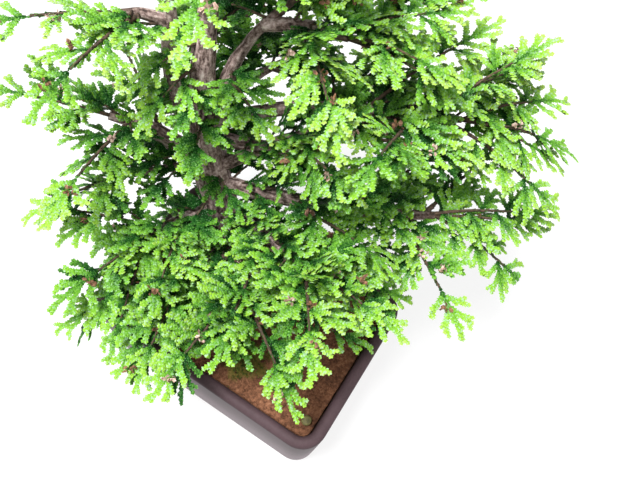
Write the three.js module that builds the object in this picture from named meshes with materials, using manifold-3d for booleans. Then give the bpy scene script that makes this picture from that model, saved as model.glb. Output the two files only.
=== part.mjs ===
// A hinoki cypress bonsai in a glazed rectangular pot. Millimetres, +Z up.
// The pot stands on four corner feet. The tree is grown by a seeded rule: stems and limbs follow short
// lists of points, twigs leave the limbs on alternate sides, and each twig ends in a leafy spray.
import * as THREE from 'three';
import { mergeVertices } from 'three/addons/utils/BufferGeometryUtils.js';
import Module from 'manifold-3d';

const wasm = await Module();
wasm.setup();

// ---- driving dimensions -----------------------------------------------------------------------------
const POT_LENGTH = 150;
const POT_DEPTH = 105.2;
const POT_HEIGHT = 62;
const CORNER_RADIUS = 14;
const CORNER_STEPS = 2;
const WALL = 6.6;
const FOOT_HEIGHT = 6;
const FLOOR_THICKNESS = 6;
const FOOT_LENGTH = 26;
const FOOT_DEPTH = 20;
const FOOT_INSET = 8;
const DRAIN_RADIUS = 5;
const DRAIN_SPACING = 68;
const SCREEN_SIZE = 18;
const SCREEN_THICKNESS = 1.2;
const SCREEN_HOLE = 4;
const GAP = 0.3;
const SOIL_TOP = 53;

const SEED = 29;
const TRUNK_TAPER = 1.35;
const FLUTE_DEPTH = 0.09;
const BLADE_THICKNESS = 1.2;
const FINGER_WIDTH = 0.155;
const FINGER_TIP_WIDTH = 0.12;
const FROND_ARCH = 0.16;
const STEM_HALF_WIDTH = 0.9;
const NECK_HALF_WIDTH = 1.2;
const TWIG_TIP_RADIUS = 1.2;
const CLEARANCE = 0.3;
const BUTT_GAP = 0.3;
const LAYOUT_ROOM = 60;
const PROBE_SIZE = 25;
const FROND_REACH = 1.4;
const STEM_REACH = 1.1;
const OWN_STEM_REACH = 0.3;
const FROND_BASE = 3;
const SHARED_BASE = 5;
const SIDE_FRONDS = 3;
const FIRST_FROND = 0.08;
const LAST_SIDE_FROND = 0.6;

// Leafy fingers of a frond: where each leaves the rib, its angle and its length, as shares of the frond.
// A frond at a spray's end is nearly even. One at its side has its open, longer half away from the tip.
const END_FINGERS = [
  [0.10, -56, 0.48],
  [0.30, -32, 0.50],
  [0.42, 0, 0.58],
  [0.34, 30, 0.50],
  [0.14, 54, 0.48],
];
const SIDE_FINGERS = [
  [0.20, -44, 0.43],
  [0.34, -27, 0.48],
  [0.46, 0, 0.54],
  [0.30, 31, 0.52],
  [0.10, 58, 0.47],
];

// Main stems: radius at the foot and at the tip, then the points they pass through.
const STEMS = [
  ['trunk', 14, 1.5, [[-38, 27, 40], [-41, 29, 72], [-50, 36, 100], [-60, 44, 130], [-66, 53, 158],
    [-68, 62, 186], [-66, 68, 212], [-61, 71, 234], [-57, 71, 250]]],
  ['left_stem', 8.0, 1.8, [[-55, 40, 114], [-71, 43, 136], [-82, 49, 160], [-83, 53, 178],
    [-85, 56, 196], [-90, 60, 212]]],
  ['right_stem', 6.0, 1.6, [[-58, 43, 124], [-58, 56, 144], [-55, 66, 164], [-46, 76, 184],
    [-34, 84, 200]]],
];

// Limbs: as the stems, with the places of the side twigs and the side that each leaves on.
const LIMBS = [
  ['big_left', 7, 2.4, [[-52, 38, 102], [-69, 33, 118], [-84, 26, 131], [-97, 16, 140]],
    [[0.5, -1], [0.8, 1]]],
  ['thin_left', 3.2, 1.6, [[-54, 38, 108], [-68, 22, 112], [-78, 6, 116]], []],
  ['front_left', 4, 1.8, [[-45, 31, 84], [-54, 8, 90], [-58, -10, 94]], [[0.4, 1], [0.8, -1]]],
  ['front', 4, 1.8, [[-42, 29, 76], [-37, 0, 80], [-32, -18, 84]], [[0.6, 1], [0.85, -1]]],
  ['front_right', 4.5, 1.8, [[-41, 29, 72], [-20, 12, 80], [-4, -4, 90], [6, -11, 94]],
    [[0.45, 1], [0.75, -1]]],
  ['right_front', 5, 2, [[-44, 31, 82], [-8, 24, 96], [16, 16, 106], [28, 14, 112]],
    [[0.35, -1], [0.62, 1], [0.85, -1]]],
  ['right_low', 5, 2, [[-50, 36, 98], [-10, 44, 108], [26, 54, 116], [50, 64, 122], [64, 72, 124]],
    [[0.3, -1], [0.5, 1], [0.72, -1], [0.9, 1]]],
  ['right_back', 4.5, 1.8, [[-58, 43, 124], [-16, 66, 122], [6, 86, 134], [16, 98, 142]],
    [[0.6, 1], [0.85, -1]]],
  ['diagonal', 4.2, 1.8, [[-52, 38, 106], [-32, 50, 126], [-12, 60, 144], [8, 66, 152]],
    [[0.55, -1], [0.8, 1]]],
  ['far_right', 4.2, 1.8, [[-58, 46, 134], [-18, 72, 150], [22, 88, 158], [52, 102, 162]],
    [[0.42, 1], [0.66, -1], [0.85, 1]]],
  ['back', 4, 1.8, [[-60, 47, 138], [-54, 76, 142], [-46, 96, 144]], [[0.55, 1], [0.8, -1]]],
  ['back_left', 4, 1.8, [[-66, 52, 150], [-80, 68, 152], [-88, 80, 152]], [[0.7, -1]]],
  ['upper_left', 3.6, 1.6, [[-83, 53, 180], [-92, 45, 186], [-98, 38, 188]], [[0.5, 1]]],
  ['upper_right', 3.6, 1.6, [[-46, 76, 184], [-24, 80, 192], [-6, 82, 194]], [[0.4, -1], [0.75, 1]]],
  ['upper_back', 3.4, 1.6, [[-67, 65, 196], [-68, 84, 202], [-68, 96, 202]], []],
  ['high_right', 3, 1.5, [[-66, 68, 212], [-48, 72, 219]], []],
  ['high_left', 3, 1.5, [[-67, 68, 206], [-84, 70, 214]], []],
  ['high_front', 2.6, 1.4, [[-62, 70, 228], [-55, 56, 233]], []],
  ['top_back', 2.4, 1.4, [[-60, 71, 238], [-60, 86, 244]], []],
];

// Sprays on the tips of the stems: which stem, compass angle, rise and length.
const STEM_TIP_SPRAYS = [
  [0, 50, 1.2, 32],
  [0, 205, 0.9, 32],
  [1, 172, 0.9, 32],
  [2, 31, 0.6, 32],
];
// Ways to swing a spray's stem when its first direction is taken: sideways and upward, in degrees.
const STEM_SWINGS = [
  [0, 0], [16, 8], [-16, 8], [0, 20], [32, 10], [-32, 10], [0, -14], [48, 24], [-48, 24], [0, 40],
];
// Ways to turn, lift and shrink a side frond until it fits.
const FROND_TRIES = [
  [0, 0, 1], [0, 0.35, 1], [0, -0.3, 1], [-12, 0.2, 0.95], [10, 0.2, 0.95], [0, 0.7, 0.9],
  [0, -0.6, 0.9], [-14, 0, 0.8], [12, 0.5, 0.8], [0, 0.3, 0.7], [-10, -0.4, 0.7], [0, 1, 0.75],
  [0, 0, 0.6], [14, -0.8, 0.75], [8, 0.9, 0.6], [-16, 0.3, 0.55],
];

// Surface roots: compass angle, reach from the trunk's foot, and radius where it leaves the trunk.
const ROOTS = [
  [15, 34, 5.0],
  [75, 15, 4.4],
  [140, 17, 4.6],
  [200, 22, 5.0],
  [262, 30, 4.6],
  [318, 36, 5.4],
];

// Pebbles on the soil: name, centre on the soil, half length, half width, half height, turn and colour.
const PEBBLES = [
  ['pebble_orange', [-15, -37], [4.2, 3.2, 2.4], 20, 0xb5713c],
  ['pebble_olive', [62, -36], [3.2, 2.6, 2.0], 75, 0x7d7a3c],
  ['pebble_tan', [60, 38], [3.6, 2.8, 2.2], 130, 0xb98a5c],
];

const UP = new THREE.Vector3(0, 0, 1);

// ---- small helpers ----------------------------------------------------------------------------------
const radians = THREE.MathUtils.degToRad;
const vector = (values) => new THREE.Vector3(...values);

// Weighted sum of vectors: sum([v, 2], [w, -1]) is 2v - w.
function sum(...terms) {
  const total = new THREE.Vector3();
  for (const [part, weight] of terms) total.addScaledVector(part, weight);
  return total;
}

// A repeatable row of numbers between 0 and 1.
class Draws {
  constructor(seed) {
    this.state = seed;
  }

  one() {
    this.state = (Math.imul(this.state, 1664525) + 1013904223) >>> 0;
    return this.state / 4294967296;
  }

  span(low, high) {
    return low + (high - low) * this.one();
  }
}

const smoothPath = (points) => new THREE.CatmullRomCurve3(points.map(vector), false, 'catmullrom', 0.5);

function heading(at, t) {
  return at(Math.min(t + 0.02, 1)).sub(at(Math.max(t - 0.02, 0))).normalize();
}

// Direction, side and face normal of a flat leafy piece, squared up.
function axesOf(direction, normal) {
  const along = direction.clone().normalize();
  const face = sum([normal, 1], [along, -normal.dot(along)]).normalize();
  const side = new THREE.Vector3().crossVectors(face, along);
  return { along, side, face };
}

function toSolid(geometry) {
  const bare = geometry.clone();
  bare.deleteAttribute('normal');
  bare.deleteAttribute('uv');
  const merged = mergeVertices(bare, 1e-4);
  return new wasm.Manifold(new wasm.Mesh({
    numProp: 3,
    vertProperties: new Float32Array(merged.attributes.position.array),
    triVerts: new Uint32Array(merged.index.array),
  }));
}

const joined = (solids) => solids.reduce((whole, solid) => whole.add(solid));

function toMesh(name, solid, colour, roughness) {
  const { vertProperties, triVerts } = solid.getMesh();
  const geometry = new THREE.BufferGeometry();
  geometry.setAttribute('position', new THREE.BufferAttribute(new Float32Array(vertProperties), 3));
  geometry.setIndex(new THREE.BufferAttribute(new Uint32Array(triVerts), 1));
  geometry.computeVertexNormals();
  const material = new THREE.MeshStandardMaterial({ color: colour, roughness, metalness: 0 });
  const mesh = new THREE.Mesh(geometry, material);
  mesh.name = name;
  return mesh;
}

// Moves every vertex of a geometry by a function that changes the given point.
function reshape(geometry, change) {
  const position = geometry.attributes.position;
  const point = new THREE.Vector3();
  for (let i = 0; i < position.count; i += 1) {
    point.fromBufferAttribute(position, i);
    change(point);
    position.setXYZ(i, point.x, point.y, point.z);
  }
  return geometry;
}

// ---- pot --------------------------------------------------------------------------------------------
function roundedRectangle(length, depth, radius) {
  const shape = new THREE.Shape();
  const x = length / 2 - radius;
  const y = depth / 2 - radius;
  shape.absarc(x, y, radius, 0, Math.PI / 2);
  shape.absarc(-x, y, radius, Math.PI / 2, Math.PI);
  shape.absarc(-x, -y, radius, Math.PI, Math.PI * 1.5);
  shape.absarc(x, -y, radius, Math.PI * 1.5, Math.PI * 2);
  return shape;
}

// A rounded box whose wall follows a profile of [height, inset from the pot's outer edge] pairs.
function profiledBox(profile) {
  const geometry = new THREE.ExtrudeGeometry(roundedRectangle(POT_LENGTH, POT_DEPTH, CORNER_RADIUS), {
    depth: profile.length - 1,
    steps: profile.length - 1,
    bevelEnabled: false,
    curveSegments: CORNER_STEPS,
  });
  const straight = { x: POT_LENGTH / 2 - CORNER_RADIUS, y: POT_DEPTH / 2 - CORNER_RADIUS };
  const pulledIn = (value, limit, inset) => {
    const over = Math.abs(value) - limit;
    return over > 0 ? Math.sign(value) * (limit + over * (1 - inset / CORNER_RADIUS)) : value;
  };
  return reshape(geometry, (point) => {
    const [height, inset] = profile[Math.round(point.z)];
    point.set(pulledIn(point.x, straight.x, inset), pulledIn(point.y, straight.y, inset), height);
  });
}

const FLOOR_TOP = FOOT_HEIGHT + FLOOR_THICKNESS;
const CAVITY_PROFILE = [
  [FLOOR_TOP, WALL + 4],
  [FLOOR_TOP + 5, WALL + 2],
  [POT_HEIGHT - 6, WALL + 0.3],
  [POT_HEIGHT - 1.6, WALL],
  [POT_HEIGHT + 1, WALL - 2.2],
];

function makePot() {
  const body = toSolid(profiledBox([
    [FOOT_HEIGHT, 2.5],
    [FOOT_HEIGHT + 2.5, 1.7],
    [POT_HEIGHT * 0.5, 0.9],
    [POT_HEIGHT - 6, 0.2],
    [POT_HEIGHT - 3, 0],
    [POT_HEIGHT - 1, 0.5],
    [POT_HEIGHT, 1.8],
  ]));
  const cavity = toSolid(profiledBox(CAVITY_PROFILE));
  const feet = [];
  for (const [x, y] of [[-1, -1], [1, -1], [1, 1], [-1, 1]]) {
    const foot = new THREE.ExtrudeGeometry(roundedRectangle(FOOT_LENGTH, FOOT_DEPTH, 6), {
      depth: FOOT_HEIGHT + 2,
      bevelEnabled: false,
      curveSegments: 1,
    });
    foot.translate(
      x * (POT_LENGTH / 2 - FOOT_INSET - FOOT_LENGTH / 2),
      y * (POT_DEPTH / 2 - FOOT_INSET - FOOT_DEPTH / 2),
      0,
    );
    feet.push(toSolid(foot));
  }
  let pot = joined([body, ...feet]).subtract(cavity);
  for (const side of [-1, 1]) {
    const drain = new THREE.CylinderGeometry(DRAIN_RADIUS, DRAIN_RADIUS, POT_HEIGHT, 10);
    drain.rotateX(Math.PI / 2);
    drain.translate(side * DRAIN_SPACING / 2, 0, 0);
    pot = pot.subtract(toSolid(drain));
  }
  return pot;
}

// Plastic mesh plate over a drain hole, lying on the pot's floor.
function makeScreen(side) {
  const centre = [side * DRAIN_SPACING / 2, 0, FLOOR_TOP + GAP + SCREEN_THICKNESS / 2];
  let screen = toSolid(new THREE.BoxGeometry(SCREEN_SIZE, SCREEN_SIZE, SCREEN_THICKNESS).translate(...centre));
  const pitch = SCREEN_HOLE + 2;
  for (const x of [-0.5, 0.5]) {
    for (const y of [-0.5, 0.5]) {
      const hole = new THREE.BoxGeometry(SCREEN_HOLE, SCREEN_HOLE, SCREEN_THICKNESS * 3);
      hole.translate(centre[0] + x * pitch, centre[1] + y * pitch, centre[2]);
      screen = screen.subtract(toSolid(hole));
    }
  }
  return screen;
}

// ---- wood -------------------------------------------------------------------------------------------
// A tapering limb: a cylinder bent along a path. radiusAt(t, angle) gives its radius.
function bentLimb(at, radiusAt, sides, steps) {
  const frames = [];
  let across = Math.abs(heading(at, 0).z) > 0.8 ? new THREE.Vector3(1, 0, 0) : UP.clone();
  for (let i = 0; i <= steps; i += 1) {
    const frame = axesOf(heading(at, i / steps), across);
    across = frame.face;
    frames.push(frame);
  }
  const geometry = new THREE.CylinderGeometry(1, 1, 1, sides, steps);
  return reshape(geometry, (point) => {
    const t = Math.min(Math.max(point.y + 0.5, 0), 1);
    const frame = frames[Math.round(t * steps)];
    const radius = Math.hypot(point.x, point.z) * radiusAt(t, Math.atan2(point.z, point.x));
    const angle = Math.atan2(point.z, point.x);
    point.copy(sum(
      [at(t), 1],
      [frame.face, radius * Math.cos(angle)],
      [frame.side, radius * Math.sin(angle)],
    ));
  });
}

const taper = (start, end) => (t) => start + (end - start) * t;
const trunkRadius = (start, end) => (t, angle = 0) => (
  (end + (start - end) * (1 - t) ** TRUNK_TAPER) * (1 + FLUTE_DEPTH * (1 - t) * Math.cos(3 * angle + 4 * t))
);

// Every place that the leafy sprays have to keep clear of, as small balls with an owner.
class TakenSpace {
  constructor() {
    this.balls = [];
  }

  add(points, radiusOf, owner) {
    points.forEach((point, i) => this.balls.push({ point, radius: radiusOf(i), owner }));
  }

  isFree(points, radius, owner) {
    const box = new THREE.Box3().setFromPoints(points).expandByScalar(16);
    const near = this.balls.filter((ball) => ball.owner !== owner && box.containsPoint(ball.point));
    return points.every((point) => near.every((ball) => (
      point.distanceTo(ball.point) > ball.radius + radius + CLEARANCE
    )));
  }
}

const WOOD = -1;
const NOBODY = -9;
const along = (at, count) => Array.from({ length: count + 1 }, (_, i) => at(i / count));

// ---- leafy fronds and sprays ------------------------------------------------------------------------
// Point of a frond's arched face, a along its rib and b across it.
function onFrond(frond, a, b) {
  const drop = FROND_ARCH * (a * a + 0.5 * b * b) / frond.size;
  return sum([frond.root, 1], [frond.along, a], [frond.side, frond.mirror * b], [frond.face, -drop]);
}

// Points all over a frond's fingers, leaving out what lies nearer to its root than base.
function frondPoints(frond, base) {
  const points = [];
  for (const [start, turn, length] of frond.fingers) {
    const angle = radians(turn);
    const reach = length * frond.size;
    const count = Math.floor(reach / 2) + 1;
    for (let i = 0; i <= count; i += 1) {
      const r = reach * i / count;
      if (start * frond.size + r < base) continue;
      for (const edge of [-1.4, 0, 1.4]) {
        points.push(onFrond(
          frond,
          start * frond.size + r * Math.cos(angle) - edge * Math.sin(angle),
          r * Math.sin(angle) + edge * Math.cos(angle),
        ));
      }
    }
  }
  return points;
}

// Where the facing edges of two neighbouring fingers meet, so that the cut runs in to the rib.
function notch(lower, upper) {
  const denominator = lower.dx * upper.dy - lower.dy * upper.dx;
  const x = upper.left[0] - lower.right[0];
  const y = upper.left[1] - lower.right[1];
  const distance = (x * upper.dy - y * upper.dx) / denominator;
  return [lower.right[0] + lower.dx * distance, lower.right[1] + lower.dy * distance];
}

// Corners of a frond's fingers, from the lowest on one side of its rib round to the lowest on the other.
function fingerCorners(frond) {
  const edges = frond.fingers.map(([start, turn, length]) => {
    const angle = radians(turn);
    const dx = Math.cos(angle);
    const dy = Math.sin(angle);
    const half = FINGER_WIDTH * frond.size / 2;
    const tip = FINGER_TIP_WIDTH * frond.size / 2;
    const rib = start * frond.size;
    const reach = length * frond.size;
    return {
      dx,
      dy,
      left: [rib + dy * half, -dx * half],
      right: [rib - dy * half, dx * half],
      tipLeft: [rib + dx * reach + dy * tip, dy * reach - dx * tip],
      tipRight: [rib + dx * reach - dy * tip, dy * reach + dx * tip],
    };
  });
  return edges.flatMap((edge, i) => {
    const tips = [edge.tipLeft, edge.tipRight];
    return i + 1 < edges.length ? [...tips, notch(edge, edges[i + 1])] : tips;
  });
}

function makeFrond(root, direction, normal, size, fingers, mirror) {
  return { root, size, fingers, mirror, ...axesOf(direction, normal) };
}

// How far from the middle of its twig's end a spray's stem begins, so that the two nearly touch: over the
// flat end of the twig, or past its edge where the stem is swung far to one side.
function stemStart({ turned, axis, thickness }) {
  const { along, side, face } = turned;
  const corner = STEM_HALF_WIDTH * Math.abs(side.dot(axis)) + BLADE_THICKNESS / 2 * Math.abs(face.dot(axis));
  const pastEdge = BUTT_GAP + (thickness + STEM_HALF_WIDTH) * Math.sin(along.angleTo(axis));
  const level = along.dot(axis);
  return level > 0.2 ? Math.min((BUTT_GAP + corner) / level, pastEdge) : pastEdge;
}

// A spray is one thin blade: a stem strip with a frond at its end and fronds on alternate sides, each cut
// in to its rib. The outline is laid out flat with room between the fronds, and every corner of it knows
// where it belongs in the grown spray, so that both faces have the same triangles.
function spraySolid(spray) {
  const corners = [];
  const onStem = (layout, t, across) => {
    const middle = sum([spray.at(t), 1], [spray.turned.side, across]);
    corners.push({ layout, middle, face: spray.turned.face });
  };
  const onLeaf = (frond, layout, a, b) => {
    corners.push({ layout, middle: onFrond(frond, a, b), face: frond.face });
  };
  const neck = NECK_HALF_WIDTH / spray.length;
  const addSideFrond = (frond, cell) => {
    const x = cell * LAYOUT_ROOM;
    const y = -frond.mirror * STEM_HALF_WIDTH;
    const outward = -frond.mirror;
    const reversed = frond.mirror < 0 ? -1 : 1;
    const leaf = fingerCorners(frond).map(([a, b]) => [a, b, [x - b, outward * -a - y]]);
    const row = reversed < 0 ? leaf.reverse() : leaf;
    onStem([x + reversed * NECK_HALF_WIDTH, -y], frond.t + reversed * neck, -y);
    for (const [a, b, layout] of row) onLeaf(frond, layout, a, b);
    onStem([x - reversed * NECK_HALF_WIDTH, -y], frond.t - reversed * neck, -y);
  };

  const sideFronds = spray.fronds.filter((frond) => frond.fingers === SIDE_FINGERS);
  sideFronds.sort((one, other) => one.t - other.t);
  const endFrond = spray.fronds.find((frond) => frond.fingers === END_FINGERS);
  const end = (sideFronds.length + 1) * LAYOUT_ROOM;
  const base = (stemStart(spray) - TWIG_TIP_RADIUS) / spray.length;

  onStem([0, -STEM_HALF_WIDTH], base, -STEM_HALF_WIDTH);
  sideFronds.forEach((frond, i) => {
    if (frond.mirror < 0) addSideFrond(frond, i + 1);
  });
  onStem([end, -STEM_HALF_WIDTH], 1, -STEM_HALF_WIDTH);
  if (endFrond) {
    for (const [a, b] of fingerCorners(endFrond)) onLeaf(endFrond, [end + a, b], a, b);
  }
  onStem([end, STEM_HALF_WIDTH], 1, STEM_HALF_WIDTH);
  for (let i = sideFronds.length - 1; i >= 0; i -= 1) {
    if (sideFronds[i].mirror > 0) addSideFrond(sideFronds[i], i + 1);
  }
  onStem([0, STEM_HALF_WIDTH], base, STEM_HALF_WIDTH);

  const key = (x, y) => `${x.toFixed(2)} ${y.toFixed(2)}`;
  const rounded = ([x, y]) => [Math.round(x * 100) / 100, Math.round(y * 100) / 100];
  const grown = new Map(corners.map((corner) => [key(...rounded(corner.layout)), corner]));
  const shape = new THREE.Shape(corners.map(({ layout }) => new THREE.Vector2(...rounded(layout))));
  const blade = new THREE.ExtrudeGeometry(shape, { depth: BLADE_THICKNESS, bevelEnabled: false });
  return toSolid(reshape(blade, (point) => {
    const { middle, face } = grown.get(key(point.x, point.y));
    point.copy(sum([middle, 1], [face, point.z - BLADE_THICKNESS / 2]));
  }));
}

// ---- growth -----------------------------------------------------------------------------------------
function growTree() {
  const draws = new Draws(SEED);
  const taken = new TakenSpace();
  const wood = [];
  const ends = [];

  const addWood = (at, radiusAt, sides, steps, samples) => {
    wood.push(toSolid(bentLimb(at, radiusAt, sides, steps)));
    taken.add(along(at, samples), (i) => radiusAt(i / samples), WOOD);
  };

  STEMS.forEach(([name, start, end, points], i) => {
    const curve = smoothPath(points);
    addWood((t) => curve.getPoint(t), trunkRadius(start, end), i === 0 ? 10 : 6, i === 0 ? 13 : 7, 80);
  });

  for (const [name, start, end, points, twigs] of LIMBS) {
    const curve = smoothPath(points);
    const at = (t) => curve.getPoint(t);
    addWood(at, taper(start, end), 5, points.length - 1, 32);
    for (const [t, side] of twigs) {
      const from = at(t);
      const forward = heading(at, t);
      const sideways = new THREE.Vector3().crossVectors(UP, forward).normalize().multiplyScalar(side);
      const angle = radians(draws.span(40, 60));
      const direction = sum([forward, Math.cos(angle)], [sideways, Math.sin(angle)], [UP, draws.span(-0.08, 0.30)]);
      direction.normalize();
      const to = sum([from, 1], [direction, draws.span(8, 14)]);
      addWood((s) => from.clone().lerp(to, s), taper(end, TWIG_TIP_RADIUS), 4, 1, 8);
      const normal = sum([UP, 1], [direction, draws.span(0.05, 0.45)], [sideways, draws.span(-0.2, 0.3)]);
      ends.push({
        name,
        root: to,
        axis: direction,
        thickness: TWIG_TIP_RADIUS,
        direction,
        normal,
        length: draws.span(30, 38),
      });
    }
    const direction = heading(at, 0.98);
    const normal = sum([UP, 1], [direction, draws.span(0.05, 0.45)]);
    ends.push({
      name,
      root: at(1),
      axis: direction,
      thickness: end,
      direction,
      normal,
      length: draws.span(32, 40),
    });
  }

  const keepFrond = (spray, frond) => {
    spray.fronds.push(frond);
    taken.add(frondPoints(frond, FROND_BASE), () => FROND_REACH, spray.owner);
    spray.own.add(frondPoints(frond, SHARED_BASE), () => FROND_REACH, spray.owner);
  };

  // The stems' own tips: two sprays at the trunk's top and one on each side stem.
  for (const [i, turn, rise, length] of STEM_TIP_SPRAYS) {
    const [name, , thickness, points] = STEMS[i];
    const curve = smoothPath(points);
    const root = curve.getPoint(1);
    const direction = new THREE.Vector3(Math.cos(radians(turn)), Math.sin(radians(turn)), rise);
    const axis = heading((t) => curve.getPoint(t), 1);
    const normal = sum([UP, 1], [direction, 0.3]);
    ends.push({ name, root, axis, thickness, direction, normal, length });
  }

  const sprays = [];
  ends.forEach((end, owner) => {
    const sag = draws.span(0.05, 0.2);
    const firstSide = draws.one() < 0.5 ? 1 : -1;
    const flat = axesOf(end.direction, end.normal);
    for (const [yaw, pitch] of STEM_SWINGS) {
      const level = sum([flat.along, Math.cos(radians(yaw))], [flat.side, Math.sin(radians(yaw))]);
      const aim = sum([level, Math.cos(radians(pitch))], [flat.face, Math.sin(radians(pitch))]).normalize();
      const turned = axesOf(aim, flat.face);
      const at = (t) => sum(
        [end.root, 1],
        [turned.along, TWIG_TIP_RADIUS + end.length * t],
        [UP, -end.length * sag * t * t],
      );
      const probe = makeFrond(at(1), heading(at, 1), turned.face, PROBE_SIZE, END_FINGERS, 1);
      const stemPoints = along(at, 10);
      if (!taken.isFree(stemPoints.slice(2), STEM_REACH, NOBODY)) continue;
      if (!taken.isFree(frondPoints(probe, FROND_BASE), FROND_REACH, NOBODY)) continue;
      const spray = { ...end, owner, at, turned, firstSide, fronds: [], own: new TakenSpace() };
      taken.add(stemPoints, () => STEM_REACH, owner);
      spray.own.add(stemPoints, () => OWN_STEM_REACH, owner);
      const size = draws.span(25, 29);
      let roll = draws.span(-0.25, 0.25);
      for (const shrink of [1, 0.9, 0.8, 0.7]) {
        const normal = sum([turned.face, 1], [turned.side, roll]);
        const frond = makeFrond(at(1), heading(at, 1), normal, size * shrink, END_FINGERS, 1);
        roll = 0;
        if (!taken.isFree(frondPoints(frond, FROND_BASE), FROND_REACH, owner)) continue;
        keepFrond(spray, frond);
        break;
      }
      sprays.push(spray);
      break;
    }
  });

  for (const spray of sprays) {
    for (let j = 0; j < SIDE_FRONDS; j += 1) {
      const t = FIRST_FROND + (LAST_SIDE_FROND - FIRST_FROND) * j / (SIDE_FRONDS - 1);
      const side = j % 2 === 0 ? spray.firstSide : -spray.firstSide;
      const turn = draws.span(46, 60);
      const twist = draws.span(-0.1, 0.4);
      const pitch = draws.span(-0.15, 0.25);
      const size = draws.span(23, 28);
      const forward = heading(spray.at, t);
      for (const [extra, lift, shrink] of FROND_TRIES) {
        const angle = radians(turn + extra);
        const { side: across, face } = spray.turned;
        const direction = sum([forward, Math.cos(angle)], [across, side * Math.sin(angle)], [face, lift]);
        const normal = sum([face, 1], [across, -side * (lift - twist)], [forward, pitch]);
        const frond = makeFrond(spray.at(t), direction, normal, size * shrink, SIDE_FINGERS, side);
        frond.t = t;
        if (!taken.isFree(frondPoints(frond, FROND_BASE), FROND_REACH, spray.owner)) continue;
        if (!spray.own.isFree(frondPoints(frond, SHARED_BASE), FROND_REACH, NOBODY)) continue;
        keepFrond(spray, frond);
        break;
      }
    }
  }
  return { wood, sprays };
}

// Surface roots, which leave the trunk's foot and dip into the soil. grown widens them for the soil's cut.
function rootSolids(grown) {
  const [x, y] = STEMS[0][3][0];
  return ROOTS.map(([turn, reach, radius]) => {
    const out = new THREE.Vector3(Math.cos(radians(turn)), Math.sin(radians(turn)), 0);
    const rise = [[3, 8], [0.4, 1.5], [0.75, -2.5], [1, -8]];
    const points = rise.map(([share, height], i) => (
      sum([vector([x, y, SOIL_TOP + height]), 1], [out, i === 0 ? share : share * reach])
    ));
    const curve = new THREE.CatmullRomCurve3(points, false, 'catmullrom', 0.5);
    return toSolid(bentLimb((t) => curve.getPoint(t), (t) => taper(radius, 1.6)(t) + grown, 5, 4));
  });
}

function makeSoil() {
  const fill = toSolid(profiledBox([
    [FLOOR_TOP + GAP + SCREEN_THICKNESS + GAP, WALL + 4],
    [FLOOR_TOP + 6, WALL + 2.4],
    [SOIL_TOP, WALL + 0.8],
  ]));
  const mounds = [[[-34, 16], 30, 24, 3.4], [[34, -14], 26, 20, 1.4], [[24, 24], 24, 14, 1.8]];
  const domes = mounds.map(([[x, y], length, depth, height]) => {
    const dome = new THREE.SphereGeometry(1, 9, 4);
    dome.rotateX(Math.PI / 2);
    dome.scale(length, depth, height);
    dome.translate(x, y, SOIL_TOP);
    return toSolid(dome);
  });
  const [, start, end, points] = STEMS[0];
  const curve = smoothPath(points);
  const wide = (t, angle) => trunkRadius(start, end)(t, angle) + GAP;
  const below = (t) => curve.getPoint(t * 0.2).addScaledVector(UP, -GAP * (1 - t));
  const foot = toSolid(bentLimb(below, (t, angle) => wide(t * 0.2, angle), 10, 3));
  const hole = joined([foot, ...rootSolids(GAP)]);
  return joined([fill, ...domes]).subtract(hole);
}

function makePebble([, [x, y], halfSize, turn]) {
  const stone = new THREE.DodecahedronGeometry(1, 0);
  reshape(stone, (point) => {
    point.multiplyScalar(1 + 0.08 * Math.sin(3 * point.x + 5 * point.y) + 0.06 * Math.cos(4 * point.z));
    point.z = Math.max(point.z, -0.45);
  });
  stone.scale(...halfSize);
  stone.rotateZ(radians(turn));
  stone.computeBoundingBox();
  stone.translate(x, y, SOIL_TOP + GAP - stone.boundingBox.min.z);
  return toSolid(stone);
}

// ---- assembly ---------------------------------------------------------------------------------------
const tree = growTree();
const wood = joined([...tree.wood, ...rootSolids(0)]);
const pot = makePot();

const pieces = new THREE.Group();
pieces.add(toMesh('pot', pot, 0x76626a, 0.32));
pieces.add(toMesh('drain_screen_left', makeScreen(-1), 0x202225, 0.6));
pieces.add(toMesh('drain_screen_right', makeScreen(1), 0x202225, 0.6));
pieces.add(toMesh('soil', makeSoil(), 0x6b4632, 0.95));
for (const pebble of PEBBLES) pieces.add(toMesh(pebble[0], makePebble(pebble), pebble[4], 0.7));
pieces.add(toMesh('wood', wood, 0x6f5a52, 0.9));
tree.sprays.forEach((spray, i) => {
  const number = String(i + 1).padStart(2, '0');
  pieces.add(toMesh(`spray_${number}_${spray.name}`, spraySolid(spray), 0x5f9f2c, 0.55));
});

// The origin is the middle of the whole bonsai's box, at the surface that it stands on.
const box = new THREE.Box3().setFromObject(pieces);
const middle = box.getCenter(new THREE.Vector3());
pieces.position.set(-middle.x, -middle.y, -box.min.z);

const bonsai = new THREE.Group();
bonsai.add(pieces);
export default bonsai;
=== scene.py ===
# %% [markdown]
# # A hinoki cypress bonsai in its glazed pot
# A small tree is mostly repetition: a few thick limbs, some fifty flat sprays, and tens of thousands of
# scale leaves. Each of the three could be modelled by hand, sculpted, or grown by a rule. Here everything
# that repeats is grown by a seeded rule, so the tree comes out the same every time the lesson is run.
# The solid model of the same tree is loaded first. It is the frame that all pieces have to fit.

# %% Load the solid model
import math

import bmesh
import bpy
import numpy as np
from mathutils import Matrix, Vector, noise as mnoise


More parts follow.
